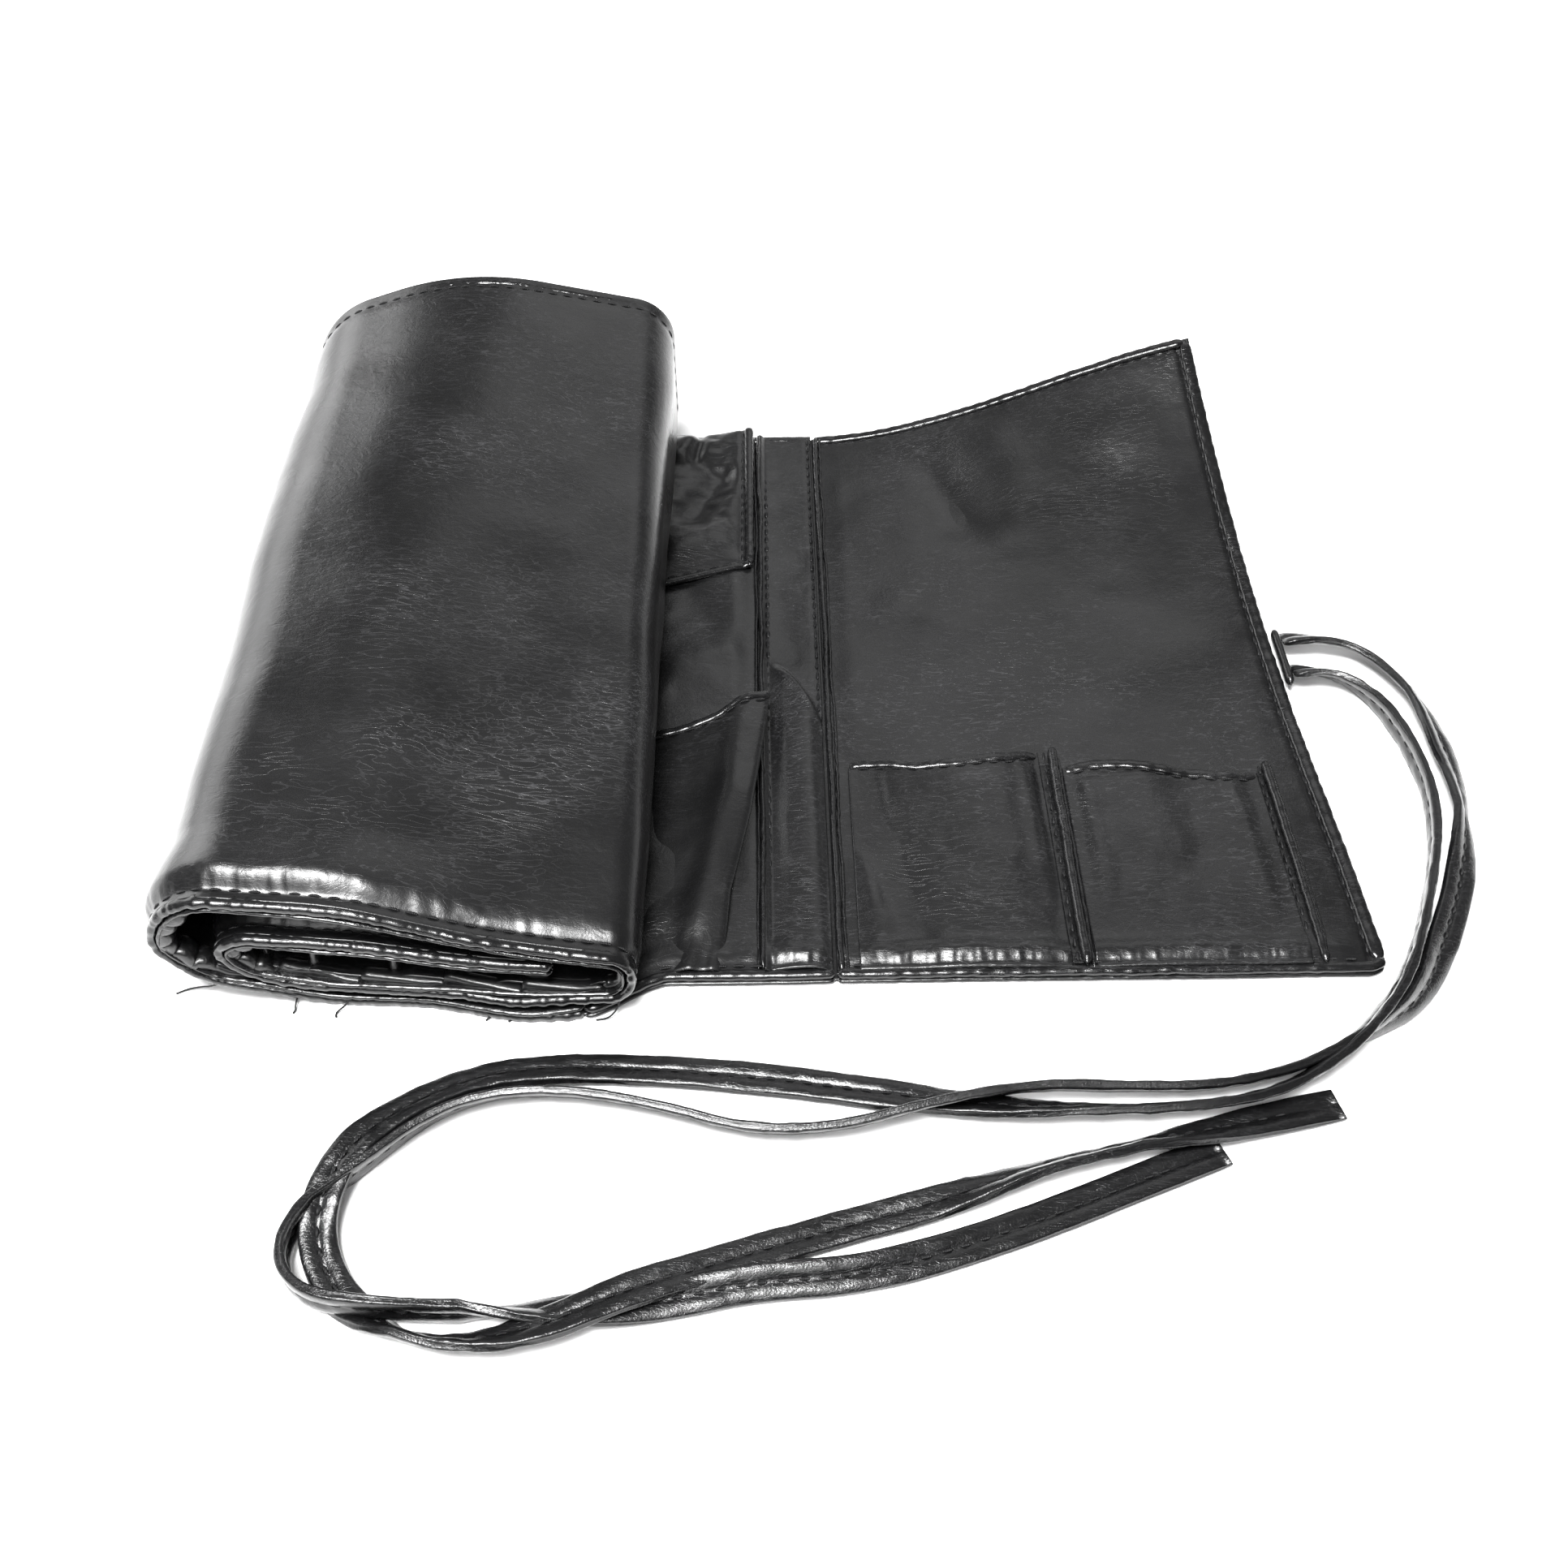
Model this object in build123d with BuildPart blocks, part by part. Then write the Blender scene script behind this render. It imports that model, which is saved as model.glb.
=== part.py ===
"""Roll-up pencil case of soft leathercloth, half unrolled, with two flat tie straps.

Frame: +X to the right along the open sheet, +Y away from the front rim, +Z up.
The origin is on the table, at the middle of the case without its ties.
"""

from build123d import *
import math
import os

os.makedirs("parts", exist_ok=True)

# ---------------------------------------------------------------- driving dimensions, mm
case_depth = 210.0      # front rim to back hem, the height of the case
roll_walk = 5.0         # how far the roll has crept forward of the flat stretch
half_width = 136.5      # half of the overall width as it lies
cover_t = 1.0           # outer cover
lining_t = 0.8          # lining
panel_t = 0.8           # pocket panels, strip and dust flap
edge_w = 4.0            # width of the bound rim and hems
rim_t = 2.8             # thickness of the bound front rim
hem_t = 2.4             # thickness of the turned back and side hems
table_gap = 0.2         # rims and hems stay this far off the table

seam_x = 11.5           # stitched seam at which the end flap folds
fold_x = -4.5           # raised fold between the pencil pockets and the strip
middle_left = -34.5     # where the flat stretch runs in under the roll
joint_gap = 0.3         # clearance at each fold line
dust_flap_left = -24.0  # the free stretch of the dust flap starts here
dust_flap_depth = 66.5

corner_lift = 35.0      # height of the curled back corner of the end flap
curl_start = -36.0      # the end flap is flat in front of this line
edge_taper = 3.0        # straight part of the end flap's narrowing to the back
edge_sweep = 9.5        # and its curved part

tie_r = 2.0             # a tie's section as a round tube, 8 x 1.6 when pressed flat

# ---------------------------------------------------------------- derived places
half_depth = (case_depth + roll_walk) / 2
flat_front = roll_walk - half_depth
flat_back = half_depth
roll_front = -half_depth
roll_back = half_depth - roll_walk
inner_front = flat_front + edge_w
inner_back = flat_back - edge_w
lining_top = cover_t + lining_t
pocket_top = lining_top + panel_t


def finish(part, name):
    """Labels a finished piece and writes it to its own file."""
    part.label = name
    export_step(part, f"parts/{name}.step")


def layer_face(x_span, y_span, z):
    """The lower face of a flat rectangular layer, from its limits along X and Y."""
    centre = ((x_span[0] + x_span[1]) / 2, (y_span[0] + y_span[1]) / 2)
    with BuildSketch(Plane.XY.offset(z)) as face:
        with Locations(centre):
            Rectangle(x_span[1] - x_span[0], y_span[1] - y_span[0])
    return face.sketch


# ================================================================ middle, lying on the table
inner_span = (inner_front, inner_back)
middle_span = (middle_left, seam_x - joint_gap)

with BuildPart() as middle_cover:
    extrude(layer_face(middle_span, inner_span, 0), amount=cover_t)
finish(middle_cover.part, "middle_cover")

with BuildPart() as middle_lining:
    extrude(layer_face(middle_span, inner_span, cover_t), amount=lining_t)
finish(middle_lining.part, "middle_lining")

with BuildPart() as middle_front_rim:
    extrude(layer_face(middle_span, (flat_front, inner_front), table_gap), amount=rim_t)
    fillet(middle_front_rim.edges().filter_by(Axis.X), 1.2)
finish(middle_front_rim.part, "middle_front_rim")

with BuildPart() as middle_back_hem:
    extrude(layer_face(middle_span, (inner_back, flat_back), table_gap), amount=hem_t)
    fillet(middle_back_hem.edges().filter_by(Axis.X), 1.0)
finish(middle_back_hem.part, "middle_back_hem")

# The tall pocket's panel lies flat; its mouth is under the dust flap.
tall_pocket_mouth = 52.0
with BuildPart() as tall_pocket:
    tall_pocket_span = (middle_left, fold_x - 1.5)
    extrude(layer_face(tall_pocket_span, (inner_front, tall_pocket_mouth), lining_top), amount=panel_t)
finish(tall_pocket.part, "tall_pocket")

with BuildPart() as strip:
    extrude(layer_face((fold_x + 1.5, seam_x - joint_gap), inner_span, lining_top), amount=panel_t)
finish(strip.part, "strip")

with BuildPart() as strip_fold:
    extrude(layer_face((fold_x - 1.3, fold_x + 1.3), inner_span, lining_top), amount=2.4)
    fillet(strip_fold.edges().filter_by(Axis.Y).group_by(Axis.Z)[-1], 0.9)
finish(strip_fold.part, "strip_fold")


def arch_section(y, x_span, foot, crest_x, rise):
    """A sagging arch of panel: both feet at one height, the crest raised over crest_x."""
    left, right = x_span
    shape = [
        (left, 0.0),
        ((left + crest_x) / 2, 0.66 * rise),
        (crest_x, rise),
        ((right + crest_x) / 2, 0.72 * rise),
        (right, 0.0),
    ]
    with BuildSketch(Plane.XZ.offset(-y)) as section:
        with BuildLine():
            under = Spline(*[(x, foot + z) for x, z in shape])
            upper = Spline(*[(x, foot + z + panel_t) for x, z in shape])
            Line(under @ 0, upper @ 0)
            Line(under @ 1, upper @ 1)
        make_face()
    return section.sketch


# The short front pocket bulges, most of all along its right side.
front_pocket_mouth = -17.0
with BuildPart() as front_pocket:
    loft(
        sections=[
            arch_section(inner_front, (-30, -11), pocket_top, -19, 4.6),
            arch_section(-60, (-30, -8), pocket_top, -16, 7.0),
            arch_section(front_pocket_mouth, (-30, -6), pocket_top, -12.5, 7.4),
        ],
        ruled=True,
    )
finish(front_pocket.part, "front_pocket")

# ================================================================ dust flap, hinged at the back
flap_low = 3.0
flap_front = flat_back - dust_flap_depth
flap_right = fold_x - 1.7
flap_back = flat_back - 0.5
flap_hem_t = 1.6
flap_span = (dust_flap_left, flap_right - edge_w)

with BuildPart() as dust_flap:
    extrude(layer_face(flap_span, (flap_front + edge_w, flap_back), flap_low), amount=panel_t)
finish(dust_flap.part, "dust_flap")

with BuildPart() as dust_flap_hem:
    extrude(layer_face((flap_right - edge_w, flap_right), (flap_front, flap_back), flap_low), amount=flap_hem_t)
    extrude(layer_face(flap_span, (flap_front, flap_front + edge_w), flap_low), amount=flap_hem_t)
finish(dust_flap_hem.part, "dust_flap_hem")

# ================================================================ end flap, curled at its back corner
edge_stations = [inner_front, curl_start, 0, 35, 70, inner_back]


def right_edge(y):
    """The end flap's right edge, which draws in to the left towards the back."""
    share = (y - flat_front) / case_depth
    return half_width - edge_taper * share - edge_sweep * share**2


def curl(x, y):
    """Height of the end flap over the table; only the back right corner curls up."""
    along = max(0.0, (y - curl_start) / (flat_back - curl_start))
    across = (x - seam_x) / (right_edge(y) - seam_x)
    return corner_lift * along**2 * across**2 * (2.2 - 1.2 * across)


def curled_section(y, x_start, x_end, low, high):
    """A cross-section of one layer of the end flap, between two heights over the curl."""
    places = [x_start + (x_end - x_start) * step / 4 for step in range(5)]
    with BuildSketch(Plane.XZ.offset(-y)) as section:
        with BuildLine():
            under = Spline(*[(x, curl(x, y) + low) for x in places])
            upper = Spline(*[(x, curl(x, y) + high) for x in places])
            Line(under @ 0, upper @ 0)
            Line(under @ 1, upper @ 1)
        make_face()
    return section.sketch


def curled_sections(stations, inset_from, inset_to, low, high):
    """Sections of a layer whose edges keep their distance from the right edge, or from the seam."""
    sections = []
    for y in stations:
        x_start = seam_x + joint_gap if inset_from is None else right_edge(y) - inset_from
        sections.append(curled_section(y, x_start, right_edge(y) - inset_to, low, high))
    return sections


with BuildPart() as end_cover:
    loft(sections=curled_sections(edge_stations, None, edge_w, 0, cover_t), ruled=True)
finish(end_cover.part, "end_cover")

with BuildPart() as end_lining:
    loft(sections=curled_sections(edge_stations, None, edge_w, cover_t, lining_top), ruled=True)
finish(end_lining.part, "end_lining")

with BuildPart() as end_side_hem:
    loft(sections=curled_sections(edge_stations, edge_w, 0, table_gap, 2.6), ruled=True)
finish(end_side_hem.part, "end_side_hem")

with BuildPart() as end_back_hem:
    loft(sections=curled_sections([inner_back, flat_back], None, 0, table_gap, 2.6), ruled=True)
finish(end_back_hem.part, "end_back_hem")

with BuildPart() as end_front_rim:
    extrude(layer_face((seam_x + joint_gap, half_width), (flat_front, inner_front), table_gap), amount=rim_t)
    fillet(end_front_rim.edges().filter_by(Axis.X), 1.2)
finish(end_front_rim.part, "end_front_rim")

seam_fold_w = 2.2
with BuildPart() as seam_fold:
    fold_start = seam_x + joint_gap
    loft(
        sections=[
            curled_section(y, fold_start, fold_start + seam_fold_w, lining_top, 3.0)
            for y in edge_stations
        ],
        ruled=True,
    )
finish(seam_fold.part, "seam_fold")

# Two small pockets stand on the front rim of the end flap.
pocket_a_span = (17.0, 65.0)
pocket_b_span = (70.2, 119.0)
pocket_a_mouth = -37.0
pocket_b_mouth = -38.5

with BuildPart() as pocket_a:
    loft(
        sections=[
            arch_section(inner_front, pocket_a_span, lining_top, 44, 1.6),
            arch_section(-70, pocket_a_span, lining_top, 48, 4.4),
            arch_section(pocket_a_mouth, pocket_a_span, lining_top, 52, 6.2),
        ],
        ruled=True,
    )
finish(pocket_a.part, "pocket_a")

with BuildPart() as pocket_b:
    loft(
        sections=[
            arch_section(inner_front, pocket_b_span, lining_top, 92, 1.0),
            arch_section(-70, pocket_b_span, lining_top, 92, 2.2),
            arch_section(pocket_b_mouth, pocket_b_span, lining_top, 92, 2.8),
        ],
        ruled=True,
    )
finish(pocket_b.part, "pocket_b")

with BuildPart() as pocket_divider_fold:
    extrude(layer_face((65.6, 69.6), (inner_front, -36.5), lining_top), amount=2.2)
    fillet(pocket_divider_fold.edges().filter_by(Axis.Y).group_by(Axis.Z)[-1], 0.9)
finish(pocket_divider_fold.part, "pocket_divider_fold")

with BuildPart() as pocket_side_fold:
    extrude(layer_face((119.6, 122.8), (inner_front, -36.5), lining_top), amount=1.6)
    fillet(pocket_side_fold.edges().filter_by(Axis.Y).group_by(Axis.Z)[-1], 0.7)
finish(pocket_side_fold.part, "pocket_side_fold")

# ================================================================ roll
# The outer face of the cover as it goes round: out along the table, up round the left end,
# back over the top, down round the right end, then one turn smaller inside. Each corner is
# (x, z, radius), once for the front of the roll and once for its taller back.
roll_front_line = [
    (-44.0, 0.0, 0),
    (-136.5, 0.0, 16),
    (-136.5, 36.0, 17),
    (-95.0, 34.5, 80),
    (-32.0, 19.0, 7.2),
    (-32.0, 4.3, 7),
    (-123.0, 4.3, 9),
    (-123.0, 27.0, 10),
    (-90.0, 25.5, 80),
    (-50.0, 15.5, 0),
]
roll_back_line = [
    (-55.0, 0.0, 0),
    (-134.0, 0.0, 26),
    (-134.0, 48.0, 28),
    (-86.0, 63.5, 80),
    (-28.5, 51.5, 13),
    (-28.5, 4.3, 14),
    (-120.0, 4.3, 17),
    (-120.0, 40.0, 18),
    (-86.0, 50.0, 80),
    (-45.0, 42.0, 0),
]


def inset_line(corners, inset):
    """Moves an open line of corners sideways, to the inner side of the roll."""
    moved = []
    count = len(corners)
    for index, (x, z, _) in enumerate(corners):
        normals = []
        for start, end in ((index - 1, index), (index, index + 1)):
            if 0 <= start and end < count:
                run_x = corners[end][0] - corners[start][0]
                run_z = corners[end][1] - corners[start][1]
                size = math.hypot(run_x, run_z)
                normals.append((run_z / size, -run_x / size))
        sum_x = sum(normal[0] for normal in normals)
        sum_z = sum(normal[1] for normal in normals)
        scale = inset * len(normals) / (sum_x**2 + sum_z**2)
        moved.append((x + sum_x * scale, z + sum_z * scale))
    return moved


def roll_section(y, outer, inner):
    """The cross-section of one rolled layer, between two insets from the cover's face."""
    share = (y - roll_front) / case_depth
    corners = [
        tuple(front + share * (back - front) for front, back in zip(start, end))
        for start, end in zip(roll_front_line, roll_back_line)
    ]
    radii = [corner[2] for corner in corners[1:-1]]
    with BuildSketch(Plane.XZ.offset(-y)) as section:
        with BuildLine():
            face = FilletPolyline(*inset_line(corners, outer), radius=[r - outer for r in radii])
            back = FilletPolyline(*inset_line(corners, inner), radius=[r - inner for r in radii])
            Line(face @ 0, back @ 0)
            Line(face @ 1, back @ 1)
        make_face()
    return section.sketch


roll_rim_back = roll_front + edge_w
roll_hem_front = roll_back - edge_w
roll_pocket_mouth = -22.0
roll_flap_front = 42.0
roll_layers = {
    "roll_cover": ([roll_rim_back, -60, roll_pocket_mouth, roll_flap_front, roll_hem_front], 0.0, 1.0),
    "roll_lining": ([roll_rim_back, -60, roll_pocket_mouth, roll_flap_front, roll_hem_front], 1.3, 1.9),
    "roll_tall_pocket": ([roll_rim_back, -60, roll_pocket_mouth, roll_flap_front], 2.2, 2.8),
    "roll_front_pocket": ([roll_rim_back, -60, roll_pocket_mouth], 3.1, 3.7),
    "roll_dust_flap": ([roll_flap_front, roll_hem_front], 3.1, 3.7),
    "roll_front_rim": ([roll_front, roll_rim_back], 0.25, 3.5),
    "roll_back_hem": ([roll_hem_front, roll_back], 0.25, 2.9),
}
for layer_name, (stations, outer, inner) in roll_layers.items():
    with BuildPart() as roll_layer:
        loft(sections=[roll_section(y, outer, inner) for y in stations], ruled=True)
    finish(roll_layer.part, layer_name)

# ================================================================ ties
# Both ties are sewn into one tack at the middle of the end flap's right edge.
tack_face = 135.6
tack_front, tack_back = -10.5, 12.0
tack_low = 2.2
with BuildPart() as tie_tack:
    tack_span = (right_edge(tack_front) + 0.3, tack_face)
    extrude(layer_face(tack_span, (tack_front, tack_back), tack_low), amount=4.8)
    fillet(tie_tack.edges().filter_by(Axis.Z).group_by(Axis.X)[-1], 1.5)
finish(tie_tack.part, "tie_tack")

tie_z = tie_r           # a tie lying on the table
over_z = 10.0           # a tie's centre where it passes over the other one

rear_tie_points = [
    (tack_face, 7.0, 4.6),
    (145.0, 7.0, 4.6),
    (157.5, 3.5, tie_z),
    (166.0, -13.5, tie_z),
    (168.0, -35.0, tie_z),
    (166.0, -56.0, tie_z),
    (160.0, -75.5, tie_z),
    (150.5, -93.5, tie_z),
    (140.0, -108.5, tie_z),
    (126.0, -118.5, tie_z),
    (109.0, -125.5, tie_z),
    (90.0, -129.5, tie_z),
    (70.0, -130.5, 5.0),
    (52.0, -132.0, over_z),
    (30.0, -138.5, over_z),
    (11.5, -142.5, 3.5),
    (-7.5, -143.0, tie_z),
    (-25.0, -137.5, tie_z),
    (-44.0, -133.0, tie_z),
    (-61.0, -133.0, tie_z),
    (-75.0, -139.0, tie_z),
    (-86.5, -148.5, tie_z),
    (-96.5, -158.0, tie_z),
    (-99.0, -169.5, 6.0),
    (-92.5, -178.0, over_z),
    (-78.5, -180.0, over_z),
    (-63.0, -178.5, 3.0),
    (-45.0, -179.5, tie_z),
    (-26.0, -180.0, tie_z),
    (-7.0, -176.0, tie_z),
    (13.0, -173.0, tie_z),
    (32.5, -168.5, tie_z),
    (52.5, -162.0, tie_z),
    (71.5, -154.5, tie_z),
    (89.5, -148.5, tie_z),
]
front_tie_points = [
    (tack_face, -5.5, 4.6),
    (144.5, -5.5, 4.6),
    (152.0, -11.0, 3.2),
    (157.5, -21.5, tie_z),
    (160.5, -42.5, tie_z),
    (157.5, -62.5, tie_z),
    (150.5, -80.5, 2.5),
    (143.0, -96.5, 6.0),
    (134.5, -109.5, over_z),
    (120.0, -123.0, over_z),
    (104.0, -132.0, 4.0),
    (85.0, -136.5, tie_z),
    (63.0, -138.0, tie_z),
    (41.0, -136.5, tie_z),
    (19.0, -132.5, tie_z),
    (-5.0, -128.0, tie_z),
    (-29.0, -125.0, tie_z),
    (-50.0, -124.5, tie_z),
    (-66.0, -128.0, 3.0),
    (-79.0, -134.5, 7.5),
    (-88.5, -144.5, over_z),
    (-93.0, -156.5, over_z),
    (-92.5, -166.5, 3.5),
    (-86.0, -177.0, tie_z),
    (-74.0, -185.0, tie_z),
    (-60.0, -187.0, 6.0),
    (-46.0, -184.5, over_z),
    (-31.0, -175.0, over_z),
    (-14.5, -168.5, 3.5),
    (6.5, -162.0, tie_z),
    (28.5, -157.0, tie_z),
    (50.5, -151.5, tie_z),
    (72.5, -146.5, tie_z),
    (95.0, -142.5, tie_z),
    (116.0, -139.0, tie_z),
]


def corner_radii(points):
    """The largest arc at each corner of a route that its two runs leave room for."""
    radii = []
    for before, here, after in zip(points, points[1:], points[2:]):
        first = Vector(*here) - Vector(*before)
        second = Vector(*after) - Vector(*here)
        half_turn = math.radians(first.get_angle(second)) / 2
        radii.append(0.45 * min(first.length, second.length) / math.tan(half_turn))
    return radii


for tie_name, tie_points in (("rear_tie", rear_tie_points), ("front_tie", front_tie_points)):
    tie_radii = corner_radii(tie_points)
    with BuildPart() as tie:
        with BuildLine():
            route = FilletPolyline(*tie_points, radius=tie_radii)
        with BuildSketch(Plane(origin=route @ 0, z_dir=route % 0)):
            Circle(tie_r)
        sweep()
    finish(tie.part, tie_name)
    tie_length = route.length
    print(tie_name, "length", round(tie_length, 1), "smallest radius", round(min(tie_radii), 1))
    print("  volume over section times length", round(tie.part.volume / (math.pi * tie_r**2 * tie_length), 4))
    print("  radii", [round(radius) for radius in tie_radii])
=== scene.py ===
"""Looks of the roll-up pencil case: leathercloth sheets, sewn folds, bound rims, stitches and ties.

All shapes are worked out in millimetres, in the row frame, and become metres in new_piece().
"""

import math

import bpy
import numpy as np
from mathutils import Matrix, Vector


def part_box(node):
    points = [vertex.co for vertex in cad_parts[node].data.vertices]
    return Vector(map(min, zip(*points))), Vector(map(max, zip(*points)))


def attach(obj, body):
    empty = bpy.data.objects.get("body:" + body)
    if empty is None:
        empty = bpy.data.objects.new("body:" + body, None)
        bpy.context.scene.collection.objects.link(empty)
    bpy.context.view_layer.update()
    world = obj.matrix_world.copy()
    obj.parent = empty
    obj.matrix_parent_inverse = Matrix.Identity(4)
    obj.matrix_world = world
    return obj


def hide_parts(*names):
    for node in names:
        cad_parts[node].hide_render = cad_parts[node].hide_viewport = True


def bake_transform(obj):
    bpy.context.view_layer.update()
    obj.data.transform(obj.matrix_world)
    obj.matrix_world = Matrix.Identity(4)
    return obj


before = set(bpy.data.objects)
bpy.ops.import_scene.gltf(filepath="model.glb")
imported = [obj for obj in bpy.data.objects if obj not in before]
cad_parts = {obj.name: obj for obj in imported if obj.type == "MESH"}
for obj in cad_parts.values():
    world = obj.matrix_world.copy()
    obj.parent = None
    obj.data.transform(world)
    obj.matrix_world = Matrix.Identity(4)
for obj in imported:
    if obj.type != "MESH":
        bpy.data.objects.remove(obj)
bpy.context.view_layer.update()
MM = 0.001


def box_mm(node):
    """The lowest and highest corner of a CAD node, in millimetres."""
    low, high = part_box(node)
    return np.array(low) / MM, np.array(high) / MM


# ---------------------------------------------------------------- places taken from the CAD model
FLAT_FRONT = box_mm("middle_front_rim")[0][1]
FLAT_BACK = box_mm("middle_back_hem")[1][1]
HALF_WIDTH = box_mm("end_front_rim")[1][0]
ROLL_FRONT = box_mm("roll_front_rim")[0][1]
ROLL_BACK = box_mm("roll_back_hem")[1][1]
SEAM_X = box_mm("seam_fold")[0][0] - 0.3
FOLD_X = float(np.mean([corner[0] for corner in box_mm("strip_fold")]))
FLAP_FRONT = box_mm("dust_flap_hem")[0][1]
FLAP_RIGHT = box_mm("dust_flap_hem")[1][0]
POCKET_A = (box_mm("pocket_a")[0][0], box_mm("pocket_a")[1][0])
POCKET_B = (box_mm("pocket_b")[0][0], box_mm("pocket_b")[1][0])
DIVIDER_X = float(np.mean([corner[0] for corner in box_mm("pocket_divider_fold")]))
SIDE_FOLD_X = float(np.mean([corner[0] for corner in box_mm("pocket_side_fold")]))

# ---------------------------------------------------------------- sizes of the soft parts
COVER_T = 0.9
LINING_T = 0.8
PANEL_T = 0.8
COVER_TOP = 0.98
LINING_TOP = 1.8
PANEL_TOP = LINING_TOP + PANEL_T
COVER_FRONT, COVER_BACK = FLAT_FRONT + 0.8, FLAT_BACK - 0.2
LINING_FRONT, LINING_BACK = FLAT_FRONT + 2.0, FLAT_BACK - 1.2
PANEL_FRONT = FLAT_FRONT + 2.2
STITCH_PITCH = 4.1
STITCH_LENGTH = 2.9
STITCH_SINK = 0.10
THREAD_RADIUS = 0.22
HEM_STEP, RIM_STEP, FOLD_STEP, STITCH_STEP = 0.7, 0.45, 0.6, 0.8      # between points along an edge
SEAM_INSET = 3.4          # topstitching lies this far inside an edge
CASE_DEPTH = ROLL_BACK - ROLL_FRONT


# ================================================================ noise and creases
LATTICE = np.random.default_rng(7).random((64, 64, 64)) * 2 - 1


def noise(x, y, z=0.0):
    """Smooth noise from -1 to 1 over points given in lattice steps."""
    x, y, z = np.broadcast_arrays(*(np.asarray(axis, float) for axis in (x, y, z)))
    cell = [np.floor(axis).astype(int) for axis in (x, y, z)]
    part = [axis - low for axis, low in zip((x, y, z), cell)]
    ease = [t * t * t * (t * (t * 6 - 15) + 10) for t in part]
    total = np.zeros(x.shape)
    for dx in (0, 1):
        for dy in (0, 1):
            for dz in (0, 1):
                weight = (
                    (ease[0] if dx else 1 - ease[0])
                    * (ease[1] if dy else 1 - ease[1])
                    * (ease[2] if dz else 1 - ease[2])
                )
                total += weight * LATTICE[(cell[0] + dx) % 64, (cell[1] + dy) % 64, (cell[2] + dz) % 64]
    return total


def waves(x, y, size, octaves=3, seed=0.0):
    """Layered noise over x and y in millimetres; size is the widest wave."""
    total = 0.0
    for octave in range(octaves):
        scale = 2.03**octave / size
        total = total + noise(x * scale + seed, y * scale - 1.7 * seed, 3.1 * octave + seed) / 1.9**octave
    return total


def bump_line(x, y, start, end, width, height, fade=0.3):
    """A rounded ridge, or a groove if height is negative, along a line between two points."""
    ax, ay = start
    run_x, run_y = end[0] - ax, end[1] - ay
    length = math.hypot(run_x, run_y)
    along = ((x - ax) * run_x + (y - ay) * run_y) / length**2
    aside = ((x - ax) * run_y - (y - ay) * run_x) / length
    ends = smooth(along, -0.02, fade) * (1 - smooth(along, 1 - fade, 1.02))
    return height * ends * np.exp(-((aside / width) ** 2))


def bump_lines(x, y, *lines):
    return sum(bump_line(x, y, *line) for line in lines)


def smooth(value, low, high):
    """0 below low, 1 above high, eased in between."""
    t = np.clip((value - low) / (high - low), 0, 1)
    return t * t * (3 - 2 * t)


def path_ease(value, places, heights):
    """Heights at places along a line, joined by eased steps."""
    value = np.asarray(value, float)
    result = np.full(value.shape, float(heights[0]))
    for (a, b), (low, high) in zip(zip(places, places[1:]), zip(heights, heights[1:])):
        result = np.where(value >= a, low + (high - low) * smooth(value, a, b), result)
    return result


# ================================================================ meshes
def new_piece(name, verts, faces, material):
    """A mesh object from points in millimetres."""
    mesh = bpy.data.meshes.new(name)
    mesh.from_pydata((np.asarray(verts, float) * MM).tolist(), [], faces)
    mesh.polygons.foreach_set("use_smooth", [True] * len(mesh.polygons))
    mesh.materials.append(material)
    mesh.update()
    piece = bpy.data.objects.new(name, mesh)
    bpy.context.scene.collection.objects.link(piece)
    return piece


def grid_faces(rows, columns, first=0, flip=False, close_columns=False):
    """Quads over a grid of points numbered row by row."""
    index = first + np.arange(rows * columns).reshape(rows, columns)
    if close_columns:
        index = np.concatenate([index, index[:, :1]], axis=1)
    quads = np.stack([index[:-1, :-1], index[1:, :-1], index[1:, 1:], index[:-1, 1:]], axis=-1)
    quads = quads.reshape(-1, 4)
    return (quads[:, ::-1] if flip else quads).tolist()


def shell(name, top, low, material):
    """A closed sheet between two grids of points; rows run along +X and columns along +Y."""
    rows, columns = top.shape[:2]
    count = rows * columns
    verts = np.concatenate([top.reshape(-1, 3), low.reshape(-1, 3)])
    faces = grid_faces(rows, columns) + grid_faces(rows, columns, first=count, flip=True)
    index = np.arange(count).reshape(rows, columns)
    border = np.concatenate([index[:, 0], index[-1, 1:], index[-2::-1, -1], index[0, -2:0:-1]])
    following = np.roll(border, -1)
    for here, after in zip(border.tolist(), following.tolist()):
        faces.append((here, here + count, after + count, after))
    return new_piece(name, verts, faces, material)


def spans(low, high, step, edge=0.5):
    """Places from low to high, with a few close to each end for a rounded edge."""
    inner = np.linspace(low + edge, high - edge, max(2, int(round((high - low - 2 * edge) / step)) + 1))
    lead = edge * np.array([0.0, 0.12, 0.35, 0.65])
    return np.concatenate([low + lead, inner, high - lead[::-1]])


def normals_of(points):
    """Unit normals of a grid of points, towards the side the rows and columns turn to."""
    along_rows = np.gradient(points, axis=0)
    along_columns = np.gradient(points, axis=1)
    normal = np.cross(along_rows, along_columns)
    size = np.linalg.norm(normal, axis=2, keepdims=True)
    return normal / np.maximum(size, 1e-9)


def rounded_sheet(name, top, rim, thickness, material, least=0.02, normal=None):
    """A sheet under a grid of points; rim is their way to its edge, which is rounded."""
    normal = normals_of(top) if normal is None else normal
    half = thickness / 2
    swell = half * np.sqrt(1 - (1 - np.clip(rim / half, least, 1)) ** 2)
    middle = top - normal * half
    return shell(name, middle + normal * swell[..., None], middle - normal * swell[..., None], material)


def edge_distance(places, low, high):
    return np.minimum(places - low, high - places)


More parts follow.
